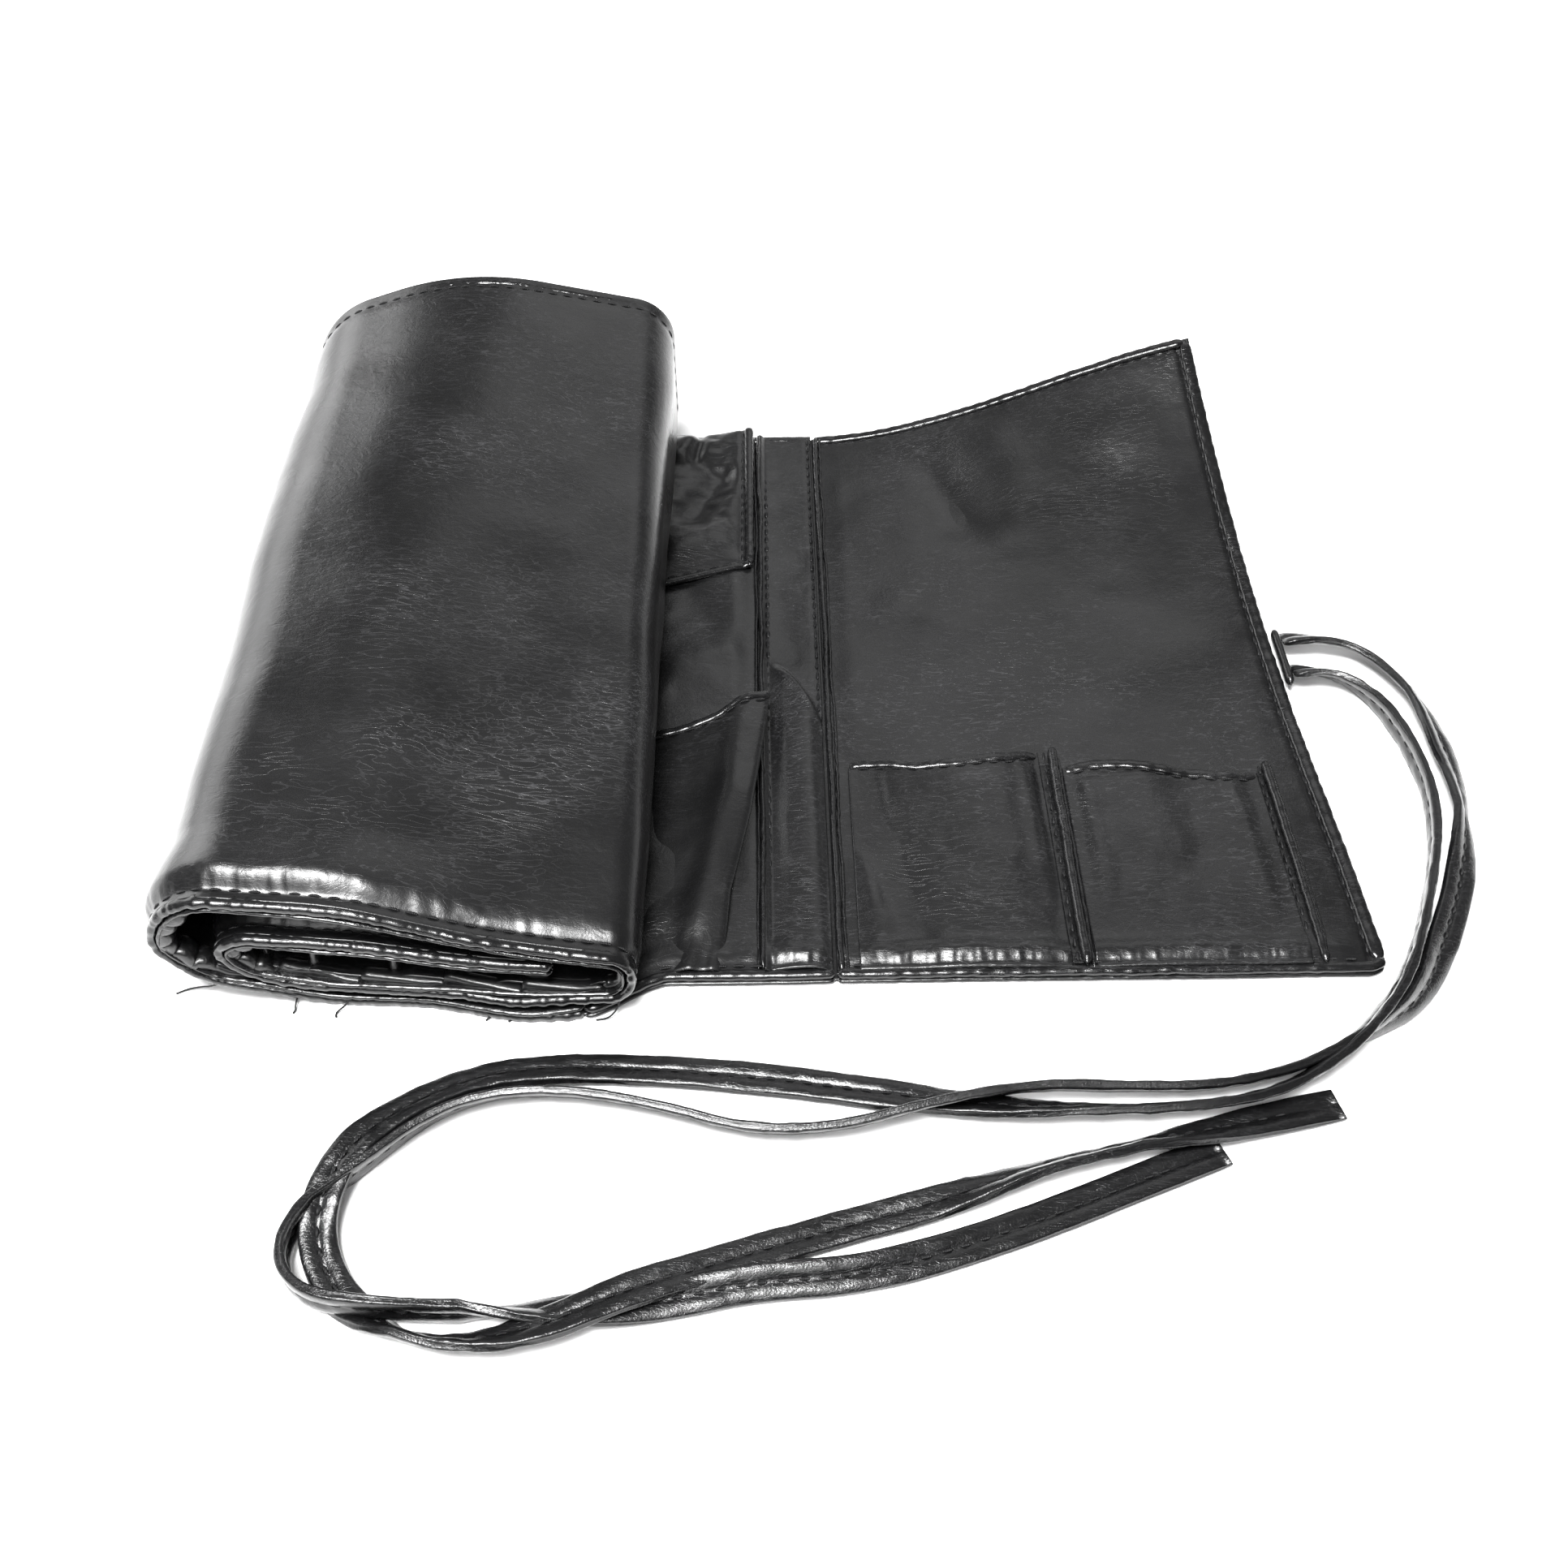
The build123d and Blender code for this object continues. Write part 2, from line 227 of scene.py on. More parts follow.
def sheet_over(name, us, vs, surface, thickness, material, both_sides=True):
    """A sheet whose upper face is surface(u, v)."""
    u, v = np.meshgrid(us, vs, indexing="ij")
    top = np.stack(np.broadcast_arrays(*surface(u, v)), axis=2)
    rim = edge_distance(v, vs[0], vs[-1])
    if both_sides:
        rim = np.minimum(rim, edge_distance(u, us[0], us[-1]))
    return rounded_sheet(name, top, rim, thickness, material)


def tube(name, centres, side, up, half_width, half_height, material, points=14, power=2.4):
    """A swept band with a rounded section; side and up are unit vectors at each centre."""
    centres, side, up = (np.asarray(grid, float) for grid in (centres, side, up))
    count = len(centres)
    half_width = np.broadcast_to(np.asarray(half_width, float), (count,))
    half_height = np.broadcast_to(np.asarray(half_height, float), (count,))
    turn = np.linspace(0, 2 * math.pi, points, endpoint=False)
    across = np.sign(np.cos(turn)) * np.abs(np.cos(turn)) ** (2 / power)
    above = np.sign(np.sin(turn)) * np.abs(np.sin(turn)) ** (2 / power)
    rings = (
        centres[:, None]
        + side[:, None] * (half_width[:, None] * across)[..., None]
        + up[:, None] * (half_height[:, None] * above)[..., None]
    )
    verts = np.concatenate([rings.reshape(-1, 3), centres[:1], centres[-1:]])
    faces = grid_faces(count, points, close_columns=True)
    first, last = count * points, count * points + 1
    for step in range(points):
        after = (step + 1) % points
        faces.append((first, after, step))
        faces.append((last, (count - 1) * points + step, (count - 1) * points + after))
    return new_piece(name, verts, faces, material)


def dress(piece, body=None, node=None, bends=None):
    """Parents a piece to the body it rides or, when a fold is named, bakes its transform in place; hides the
    CAD node it replaces.
    """
    if bends:
        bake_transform(piece)
    else:
        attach(piece, body)
    if node:
        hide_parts(node)
    return piece


UP, RIGHT, BACK, FORWARD = (0.0, 0.0, 1.0), (1.0, 0.0, 0.0), (0.0, 1.0, 0.0), (0.0, -1.0, 0.0)


def all_along(vector, line):
    """The same vector at every point of a line."""
    return np.tile(vector, (len(line), 1))


def unit(vectors):
    vectors = np.asarray(vectors, float)
    return vectors / np.maximum(np.linalg.norm(vectors, axis=-1, keepdims=True), 1e-9)


def tangents(points):
    return unit(np.gradient(points, axis=0))


def line_of(x, y, z):
    """A line of points from its three coordinates, any of which may stay the same along it."""
    return np.stack(np.broadcast_arrays(x, y, z), axis=1)


def level_frame(line):
    """The directions along a line, its level sides to the right, and the ups that go with them."""
    forward = tangents(line)
    side = unit(np.cross(forward, UP))
    return forward, side, np.cross(side, forward)


def lengths_along(points):
    steps = np.linalg.norm(np.diff(points, axis=0), axis=1)
    return np.concatenate([[0.0], np.cumsum(steps)])


def resample(points, step):
    """Points every step along a line of points."""
    points = np.asarray(points, float)
    along = lengths_along(points)
    places = np.linspace(0, along[-1], max(2, int(round(along[-1] / step)) + 1))
    return np.stack([np.interp(places, along, points[:, axis]) for axis in range(points.shape[1])], axis=1)


def round_ends(count, ends):
    """Shrinks the first and last few sections of a band so that its ends are rounded."""
    place = np.arange(count)
    near = np.minimum(place, place[::-1]) / ends
    share = np.clip(near, 0.0, 1.0)
    return np.sqrt(np.clip(1 - (1 - share) ** 2, 0.04, 1))


def stitch_row(name, line, up, length=STITCH_LENGTH, width=0.75):
    """Sewn stitches lying end to end along a line: each is a short thread that dips in at both ends."""
    line = np.asarray(line, float)
    up = np.broadcast_to(np.asarray(up, float), line.shape)
    along = lengths_along(line)
    count = max(1, int(along[-1] // STITCH_PITCH))
    start = (along[-1] - count * STITCH_PITCH) / 2
    rings, around = 7, 6
    verts, faces = [], []
    for stitch in range(count):
        jitter = 0.12 * noise(stitch * 0.9, 5.5, 1.3)
        centre = start + (stitch + 0.5 + jitter) * STITCH_PITCH
        places = np.linspace(centre - length / 2, centre + length / 2, rings)
        points = np.stack([np.interp(places, along, line[:, axis]) for axis in range(3)], axis=1)
        lift = unit(np.stack([np.interp(places, along, up[:, axis]) for axis in range(3)], axis=1))
        forward = tangents(points)
        aside = unit(np.cross(forward, lift))
        share = np.linspace(-1, 1, rings)
        swell = np.sqrt(np.clip(1 - share**2, 0.02, 1))
        points = points + lift * (0.22 * (1 - share**2) - STITCH_SINK)[:, None]
        points = points + aside * (0.14 * noise(stitch * 1.3, 9.1, 0.4))
        first = len(verts)
        for ring in range(rings):
            for step in range(around):
                turn = 2 * math.pi * step / around
                verts.append(
                    points[ring]
                    + aside[ring] * (math.cos(turn) * width / 2 * swell[ring])
                    + lift[ring] * (math.sin(turn) * 0.2 * swell[ring])
                )
        faces += grid_faces(rings, around, first=first, close_columns=True)
        faces.append(tuple(first + step for step in range(around)))
        faces.append(tuple(first + (rings - 1) * around + step for step in reversed(range(around))))
    return new_piece(name, verts, faces, THREAD)


# ================================================================ materials
def add_node(tree, kind, sockets=(), **settings):
    """A shader node with its settings; each of its sockets takes a plain value or another node's output."""
    node = tree.nodes.new("ShaderNode" + kind)
    for setting, value in settings.items():
        setattr(node, setting, value)
    for socket, value in dict(sockets).items():
        if isinstance(value, bpy.types.NodeSocket):
            tree.links.new(value, node.inputs[socket])
        else:
            node.inputs[socket].default_value = value
    return node


def maths(tree, operation, *values):
    return add_node(tree, "Math", enumerate(values), operation=operation).outputs["Value"]


def ramp(tree, source, low, high, at_low, at_high):
    """An eased step from at_low to at_high as the source goes from low to high."""
    sockets = {"Value": source, "From Min": low, "From Max": high, "To Min": at_low, "To Max": at_high}
    return add_node(tree, "MapRange", sockets, interpolation_type="SMOOTHSTEP").outputs["Result"]


def noise_node(tree, place, scale, detail=3.0, distortion=0.0, roughness=0.55):
    sockets = {"Vector": place, "Scale": scale, "Detail": detail}
    return add_node(tree, "TexNoise", {**sockets, "Distortion": distortion, "Roughness": roughness})


def streaks(tree, place, size, length, turn, width):
    """Thin broken creases: contour lines of noise drawn out along one direction."""
    wander = noise_node(tree, place, 300.0 / length, 1.0).outputs["Color"]
    bend = {0: wander, 1: (0.0012 * length,) * 3, 2: place}
    bent = add_node(tree, "VectorMath", bend, operation="MULTIPLY_ADD").outputs["Vector"]
    stretch = {"Vector": bent, "Scale": (size / length, 1.0, 1.0), "Rotation": (0.0, 0.0, turn)}
    stretched = add_node(tree, "Mapping", stretch).outputs["Vector"]
    grainy = noise_node(tree, stretched, 1000.0 / size, 1.5, 0.0, 0.5).outputs["Fac"]
    off_contour = maths(tree, "ABSOLUTE", maths(tree, "SUBTRACT", grainy, 0.5))
    return ramp(tree, off_contour, 0.0, width, 1.0, 0.0)


def mix_colours(tree, share, first, second):
    return add_node(tree, "Mix", {0: share, 6: first, 7: second}, data_type="RGBA").outputs[2]


def leather(name, colour, rough, creases, crease_size, grain=0.3):
    """Soft coated leathercloth: fine grain, patches of thin creases painted lighter (partly wear, partly
    painted sheen) and uneven gloss.
    """
    material = bpy.data.materials.new(name)
    material.use_nodes = True
    tree = material.node_tree
    shader = tree.nodes["Principled BSDF"]
    shader.inputs["IOR"].default_value = 1.5
    shader.inputs["Specular IOR Level"].default_value = 0.5
    place = add_node(tree, "TexCoord").outputs["Object"]

    def cloud(*how):
        return noise_node(tree, place, *how).outputs["Fac"]

    def tint(share):
        return (*[part * share for part in colour], 1)

    def crease_layer(size, length, turn, width, patches):
        lines = streaks(tree, place, crease_size * size, crease_size * length, turn, width)
        return maths(tree, "MULTIPLY", lines, patches)

    patches = ramp(tree, cloud(24.0, 1.0), 0.34, 0.80, 0.06, 1.0)
    others = ramp(tree, cloud(37.0, 1.0), 0.34, 0.80, 0.06, 1.0)
    across = crease_layer(0.45, 2.8, 0.25, 0.024, patches)
    upward = crease_layer(0.42, 2.2, 0.95, 0.024, others)
    slanted = crease_layer(0.55, 3.2, -0.6, 0.018, patches)

    base = mix_colours(tree, ramp(tree, cloud(34.0, 3.0), 0.35, 0.68, 0.0, 1.0), tint(0.75), tint(1.35))
    # The crease lines are painted lighter in the base colour. This is partly the coating's real wear and
    # partly a painted sheen, standing in for the highlights their rougher surface would spread.
    crease_wear_and_sheen = maths(tree, "ADD", maths(tree, "ADD", across, upward), slanted)
    tree.links.new(
        mix_colours(tree, maths(tree, "MULTIPLY", crease_wear_and_sheen, 0.33), base, tint(14.0)), shader.inputs["Base Color"]
    )
    tree.links.new(
        ramp(tree, cloud(48.0, 2.0), 0.25, 0.75, rough - 0.02, rough + 0.05), shader.inputs["Roughness"]
    )

    sockets = {}
    for source, strength, distance in (
        (cloud(260.0, 3.0, 0.8, 0.6), 0.30, 0.0003),
        (cloud(2100.0, 2.0, 0.2, 0.6), grain, 0.00008),
        (upward, creases, -0.00006),
        (across, creases, 0.00005),
        (slanted, creases, 0.00006),
    ):
        sockets.update({"Height": source, "Strength": strength, "Distance": distance})
        sockets["Normal"] = add_node(tree, "Bump", sockets).outputs["Normal"]
    tree.links.new(sockets["Normal"], shader.inputs["Normal"])
    return material


def thread(name):
    """Twisted black sewing thread."""
    material = bpy.data.materials.new(name)
    material.use_nodes = True
    tree = material.node_tree
    shader = tree.nodes["Principled BSDF"]
    shader.inputs["Base Color"].default_value = (0.005, 0.005, 0.0055, 1)
    shader.inputs["Roughness"].default_value = 0.5
    shader.inputs["Specular IOR Level"].default_value = 0.35
    place = add_node(tree, "TexCoord").outputs["Object"]
    twist = add_node(tree, "TexWave", {"Vector": place, "Scale": 900.0, "Distortion": 1.5}).outputs["Fac"]
    layer = add_node(tree, "Bump", {"Height": twist, "Strength": 0.6, "Distance": 0.0002})
    tree.links.new(layer.outputs["Normal"], shader.inputs["Normal"])
    return material


BLACK = (0.0035, 0.0035, 0.0037)
COVER = leather("cover_leathercloth", BLACK, 0.28, 0.34, 3.6, 0.25)
LINING = leather("lining_leathercloth", BLACK, 0.31, 0.40, 3.2)
PANEL = leather("panel_leathercloth", BLACK, 0.30, 0.38, 3.2)
BINDING = leather("binding_leathercloth", BLACK, 0.22, 0.3, 2.4)
TIE = leather("tie_leathercloth", BLACK, 0.24, 0.45, 2.2, 0.8)
THREAD = thread("sewing_thread")


def add_stitches(name, line, up, body=None, bends=None, **how):
    """A row of stitches that rides a body, or is baked in place when a fold is named."""
    return dress(stitch_row(name, line, up, **how), body, bends=bends)


# ================================================================ camera, floor and light
CAMERA_PLACE = (-0.0037, -0.320, 0.295)
CAMERA_PITCH = 46.5       # degrees below the horizon
CAMERA_HEADING = 0.95     # degrees clockwise from +Y
CAMERA_LENS = 37.27

camera_data = bpy.data.cameras.new("camera")
camera_data.lens = CAMERA_LENS
camera_data.sensor_width = 36.0
camera_data.clip_start = 0.01
camera = bpy.data.objects.new("camera", camera_data)
camera.location = CAMERA_PLACE
camera.rotation_euler = (math.radians(90 - CAMERA_PITCH), 0, -math.radians(CAMERA_HEADING))
bpy.context.scene.collection.objects.link(camera)
bpy.context.scene.camera = camera

# A white studio, bright at the horizon, dimmer overhead and towards the front.
world = bpy.data.worlds.new("studio")
world.use_nodes = True
background = world.node_tree.nodes["Background"]
background.inputs["Color"].default_value = (1.0, 1.0, 1.0, 1)
direction = add_node(world.node_tree, "TexCoord").outputs["Generated"]
parts = add_node(world.node_tree, "SeparateXYZ", {"Vector": direction}).outputs
fade_up = ramp(world.node_tree, parts["Z"], 0.02, 0.30, 1.4, 0.23)
sockets = {"Value": parts["Y"], "From Min": -0.7, "From Max": 0.0, "To Min": 0.25, "To Max": 1.0}
fade_front = add_node(world.node_tree, "MapRange", sockets).outputs["Result"]
both_fades = maths(world.node_tree, "MULTIPLY", fade_up, fade_front)
world.node_tree.links.new(both_fades, background.inputs["Strength"])
bpy.context.scene.world = world


def soft_light(name, place, target, size, power):
    """A square softbox aimed at a target point."""
    data = bpy.data.lights.new(name, "AREA")
    data.shape = "RECTANGLE"
    data.size, data.size_y = size
    data.energy = power
    lamp = bpy.data.objects.new(name, data)
    lamp.location = place
    lamp.rotation_euler = (Vector(target) - Vector(place)).to_track_quat("-Z", "Y").to_euler()
    bpy.context.scene.collection.objects.link(lamp)
    return lamp


soft_light("back_left_softbox", (-1.15, 0.92, 0.62), (-0.05, 0, 0.03), (0.9, 0.8), 8.5)
soft_light("top_softbox", (-0.23, -0.38, 1.11), (0, 0, 0), (0.55, 0.36), 42)
soft_light("front_softbox", (-0.10, -0.78, 0.86), (0, -0.05, 0), (0.8, 0.4), 5)
soft_light("back_softbox", (0.30, 1.0, 0.98), (0.06, 0, 0), (0.8, 0.65), 1.8)

bpy.context.scene.view_settings.view_transform = "Standard"

FLOOR_HALF = 4000.0
floor_paint = bpy.data.materials.new("pale_floor")
floor_paint.use_nodes = True
floor_shader = floor_paint.node_tree.nodes["Principled BSDF"]
floor_shader.inputs["Base Color"].default_value = (0.97, 0.97, 0.97, 1)
floor_shader.inputs["Roughness"].default_value = 0.9
floor_corners = [(x * FLOOR_HALF, y * FLOOR_HALF, 0) for x, y in ((-1, -1), (1, -1), (1, 1), (-1, 1))]
new_piece("floor", floor_corners, [(0, 1, 2, 3)], floor_paint)


# ================================================================ ties
# Each point is x, y and z in metres, then the turn of the strap there: 0 flat, 90 on edge.
TIE_WIDTH = 0.0075
TIE_HALF_T = 1.05
rear_tie_points = [
    (0.1356, 0.0070, 0.0046, 20),
    (0.1450, 0.0070, 0.0052, 40),
    (0.1575, 0.0035, 0.0042, 40),
    (0.1660, -0.0135, 0.0039, 50),
    (0.1680, -0.0350, 0.0031, 30),
    (0.1660, -0.0560, 0.0041, 60),
    (0.1600, -0.0755, 0.0024, 20),
    (0.1505, -0.0938, 0.0024, 20),
    (0.1400, -0.1107, 0.0039, 60),
    (0.1260, -0.1199, 0.0039, 100),
    (0.1090, -0.1284, 0.0038, 116),
    (0.0900, -0.1328, 0.0038, 118),
    (0.0700, -0.1326, 0.0039, 118),
    (0.0520, -0.1324, 0.0050, 118),
    (0.0300, -0.1365, 0.0054, 118),
    (0.0115, -0.1413, 0.0039, 118),
    (-0.0075, -0.1418, 0.0038, 118),
    (-0.0250, -0.1359, 0.0038, 118),
    (-0.0440, -0.1316, 0.0038, 118),
    (-0.0610, -0.1316, 0.0038, 118),
    (-0.0750, -0.1374, 0.0039, 112),
    (-0.0865, -0.1490, 0.0039, 104),
    (-0.0965, -0.1579, 0.0042, 92),
    (-0.0990, -0.1695, 0.0052, 88),
    (-0.0925, -0.1785, 0.0072, 88),
    (-0.0785, -0.1808, 0.0072, 88),
    (-0.0630, -0.1803, 0.0042, 88),
    (-0.0450, -0.1802, 0.0032, 30),
    (-0.0260, -0.1784, 0.0022, -14),
    (-0.0070, -0.1744, 0.0026, -26),
    (0.0130, -0.1734, 0.0024, -22),
    (0.0325, -0.1681, 0.0017, -8),
    (0.0525, -0.1609, 0.0012, 0),
    (0.0715, -0.1533, 0.0012, 0),
    (0.0895, -0.1463, 0.0012, 0),
]
front_tie_points = [
    (0.1356, -0.0055, 0.0046, 20),
    (0.1445, -0.0055, 0.0046, 45),
    (0.1520, -0.0110, 0.0042, 60),
    (0.1575, -0.0215, 0.0040, 80),
    (0.1605, -0.0425, 0.0039, 86),
    (0.1575, -0.0625, 0.0039, 88),
    (0.1505, -0.0805, 0.0042, 88),
    (0.1430, -0.0965, 0.0056, 92),
    (0.1345, -0.1108, 0.0054, 105),
    (0.1200, -0.1247, 0.0049, 115),
    (0.1040, -0.1344, 0.0038, 118),
    (0.0850, -0.1378, 0.0038, 120),
    (0.0630, -0.1379, 0.0036, 128),
    (0.0410, -0.1363, 0.0027, 152),
    (0.0190, -0.1317, 0.0013, 176),
    (-0.0050, -0.1276, 0.0012, 180),
    (-0.0290, -0.1252, 0.0014, 176),
    (-0.0500, -0.1248, 0.0022, 166),
    (-0.0660, -0.1280, 0.0036, 160),
    (-0.0790, -0.1359, 0.0054, 166),
    (-0.0885, -0.1449, 0.0066, 180),
    (-0.0930, -0.1564, 0.0054, 186),
    (-0.0925, -0.1665, 0.0026, 188),
    (-0.0860, -0.1770, 0.0015, 185),
    (-0.0740, -0.1850, 0.0042, 250),
    (-0.0600, -0.1870, 0.0042, 230),
    (-0.0460, -0.1837, 0.0050, 195),
    (-0.0310, -0.1768, 0.0050, 185),
    (-0.0145, -0.1707, 0.0024, 182),
    (0.0065, -0.1638, 0.0012, 180),
    (0.0285, -0.1581, 0.0016, 186),
    (0.0505, -0.1514, 0.0035, 232),
    (0.0725, -0.1461, 0.0035, 236),
    (0.0950, -0.1409, 0.0017, 190),
    (0.1160, -0.1359, 0.0012, 180),
]


def smooth_line(points):
    """The smooth line of a route: a NURBS spline with the route's points as its control points."""
    curve = bpy.data.curves.new("route", "CURVE")
    curve.dimensions = "3D"
    spline = curve.splines.new("NURBS")
    spline.points.add(len(points) - 1)
    for point, (x, y, z, _) in zip(spline.points, points):
        point.co = (x, y, z, 1)
    spline.order_u = 3
    spline.use_endpoint_u = True
    curve.resolution_u = 14
    holder = bpy.data.objects.new("route", curve)
    bpy.context.scene.collection.objects.link(holder)
    bpy.context.view_layer.update()
    mesh = bpy.data.meshes.new_from_object(holder)
    line = np.array([vertex.co for vertex in mesh.vertices])
    bpy.data.objects.remove(holder)
    bpy.data.meshes.remove(mesh)
    return line / MM


def strap(name, points, crinkle_seed):
    """A flat folded tie with a stitched middle, turned about its line as it goes."""
    line = smooth_line(points)
    count = len(line)
    spans_count = len(points) - 2
    place = np.linspace(0, spans_count, count)
    knots = np.concatenate([[0.0], np.arange(spans_count) + 0.5, [spans_count]])
    turn = np.radians(np.interp(place, knots, [point[3] for point in points]))
    forward, level, above = level_frame(line)
    side = level * np.cos(turn)[:, None] + above * np.sin(turn)[:, None]
    up = np.cross(side, forward)
    along = lengths_along(line)

    # The section, as shares of its half width and half thickness: the upper face, then the lower one.
    half_w = TIE_WIDTH / MM / 2
    near_edge = [(0.91, 0.0), (1.0, 0.40), (0.96, 0.74), (0.86, 0.95), (0.6, 1.0), (0.34, 0.98), (0.14, 0.72)]
    upper = [(-wide, high) for wide, high in near_edge] + [(0.0, 0.5)] + near_edge[::-1]
    ring = upper + [(wide, -high) for wide, high in upper[-2:0:-1]]
    pinch = 0.5 + 0.5 * np.cos(2 * math.pi * along / STITCH_PITCH)
    ends = round_ends(count, 3)
    rings = []
    for wide, high in ring:
        width = half_w * (1 + 0.03 * waves(along, 0 * along, 9.0, 2, crinkle_seed))
        dimple = math.exp(-((wide / 0.16) ** 2))
        thick = TIE_HALF_T * high * (1 - 0.35 * dimple * pinch)
        thick = thick * (1 + 0.16 * noise(along / 3.1, wide * 2.2 + 7, crinkle_seed))
        wrinkle = 0.10 * noise(along / 1.7, wide * 3.0, crinkle_seed + 4) * (abs(high) > 0)
        rings.append(line + side * (wide * width)[:, None] + up * ((thick + wrinkle) * ends)[:, None])
    rings = np.stack(rings, axis=1)
    per_ring = len(ring)
    verts = rings.reshape(-1, 3)
    faces = grid_faces(count, per_ring, close_columns=True)
    faces.append(tuple(range(per_ring - 1, -1, -1)))
    faces.append(tuple((count - 1) * per_ring + step for step in range(per_ring)))
    stitches = [(line + up * (face * TIE_HALF_T * 0.62), up * face) for face in (1, -1)]
    return new_piece(name, verts, faces, TIE), stitches, line


for tie_name, tie_points, seed in (("rear_tie", rear_tie_points, 1.5), ("front_tie", front_tie_points, 6.2)):
    tie, seams, tie_line = strap(f"{tie_name}_strap", tie_points, seed)
    dress(tie, "end_flap", tie_name)
    seam_pieces = [
        add_stitches(f"{tie_name}_stitches_{index}", seam_line[4:-4], seam_up[4:-4], "end_flap", length=2.3)
        for index, (seam_line, seam_up) in enumerate(seams, start=1)
    ]
    float(lengths_along(tie_line)[-1]) * MM


# ================================================================ end flap
EDGE_TAPER, EDGE_SWEEP = 3.0, 9.5
CORNER_LIFT, CURL_START = 35.0, -36.0
CORNER_RADIUS = 5.5


def right_edge(y):
    """The end flap's right edge, which draws in towards the back; its front corner is rounded."""
    share = (y - FLAT_FRONT) / CASE_DEPTH
    return HALF_WIDTH - EDGE_TAPER * share - EDGE_SWEEP * share**2


def corner_pull(x):
    """How far the front edge draws back as it rounds the front corner."""
    past = np.clip(x - (HALF_WIDTH - CORNER_RADIUS), 0, CORNER_RADIUS * 0.93)
    return CORNER_RADIUS - np.sqrt(CORNER_RADIUS**2 - past**2)


def curl(x, y):
    """Height of the end flap over the table; only the back right corner curls up."""
    along = np.maximum(0.0, (y - CURL_START) / (FLAT_BACK - CURL_START))
    across = (x - SEAM_X) / (right_edge(y) - SEAM_X)
    return CORNER_LIFT * along**2 * across**2 * (2.2 - 1.2 * across)


def groove(distance, depth=0.4, width=0.8):
    """The dent that a row of stitches pulls into a sheet."""
    return -depth * np.exp(-((distance / width) ** 2))


def front_swell(x, y, seed, rise=0.95):
    """The filling that bulges behind the front stitches, gathered into small vertical puckers."""
    behind = y - FLAT_FRONT - SEAM_INSET
    uneven = 1 + 0.40 * noise(x / 11.0, seed, 0.5) + 0.25 * noise(x / 3.7, seed, 1.5)
    crest = 3.4 + 0.9 * noise(x / 4.3, seed, 2.5)
    swell = rise * uneven * np.exp(-(((behind - crest) / 2.5) ** 2))
    pucker = 0.20 * noise(x / 1.7, behind / 5.0, seed) + 0.16 * noise(x / 0.9, behind / 4.0, seed + 3)
    return swell + pucker * np.exp(-(((behind - 1.4) / 2.0) ** 2)) * smooth(behind, -0.6, 0.6)


def end_relief(x, y):
    """The lining's own waves and dents, in millimetres over its flat place."""
    edge = smooth(right_edge(y) - x, 2.5, 14) * smooth(FLAT_BACK - y, 2.5, 12)
    edge = edge * smooth(x - SEAM_X, 1.0, 9)
    soft = 0.55 * waves(x, y, 52, 2, 3.0) + 0.22 * waves(x, y, 17, 2, 8.0)
    dents = bump_lines(
        x,
        y,
        ((43, 100), (60, 44), 9.0, -1.7),
        ((58, 104), (76, 50), 10.0, 1.2),
        ((26, 30), (58, 10), 10.0, 0.9),
        ((60, 70), (112, 88), 12.0, 0.8),
        ((72, -8), (128, 6), 9.0, 0.6),
        ((20, 70), (48, 58), 8.0, 0.5),
    )
    pucker = front_swell(x, y - corner_pull(x), 2.2, 0.6) * smooth(right_edge(y) - x, 3.0, 9.0)
    pucker = pucker + 0.22 * noise(x / 9.0, y / 2.3, 5.2) * np.exp(-((right_edge(y) - x - 4) / 4.0) ** 2)
    sewn = groove(y - corner_pull(x) - FLAT_FRONT - SEAM_INSET) + groove(FLAT_BACK - y - SEAM_INSET - 0.2)
    sewn = sewn + groove(right_edge(y) - x - SEAM_INSET - 0.2, 0.8, 0.95)
    return (soft + dents + 0.5) * edge + pucker + sewn


def lining_surface(x, y):
    return x, y, LINING_TOP + curl(x, y) + end_relief(x, y)


def end_grid(u, v, start, inset):
    """Places on the end flap from a share across it, u, and a place along it, v."""
    return start + (right_edge(v) - inset - start) * u, v


END_START = SEAM_X + 0.35


def end_sheet(name, inset, start, front, back, raise_by, thickness, relief, material):
    """A layer of the end flap that keeps its distance from the curved right edge."""
    us = np.concatenate([[0, 0.001, 0.003], np.linspace(0.006, 0.994, 165), [0.997, 0.999, 1]])
    vs = spans(front, back, 1.8)
    u, v = np.meshgrid(us, vs, indexing="ij")
    x, y = end_grid(u, v, start, inset)
    y = y + corner_pull(x) * (1 - smooth(y, FLAT_FRONT, FLAT_FRONT + 14))
    z = raise_by + curl(x, y) + (end_relief(x, y) if relief else 0 * x)
    rim = np.minimum(np.minimum(u, 1 - u) * (right_edge(v) - inset - start), edge_distance(v, front, back))
    return rounded_sheet(name, np.stack([x, y, z], axis=2), rim, thickness, material)


end_lining = end_sheet(
    "end_lining_sheet", 1.2, END_START, LINING_FRONT, LINING_BACK, LINING_TOP, LINING_T, True, LINING
)
dress(end_lining, "end_flap", "end_lining")

end_cover = end_sheet(
    "end_cover_sheet", 0.2, 3.0, COVER_FRONT, COVER_BACK, COVER_TOP, COVER_T, False, COVER
)
dress(end_cover, node="end_cover", bends=("middle", "end_flap", (0.0075, 0, 0), (0.0155, 0, 0)))


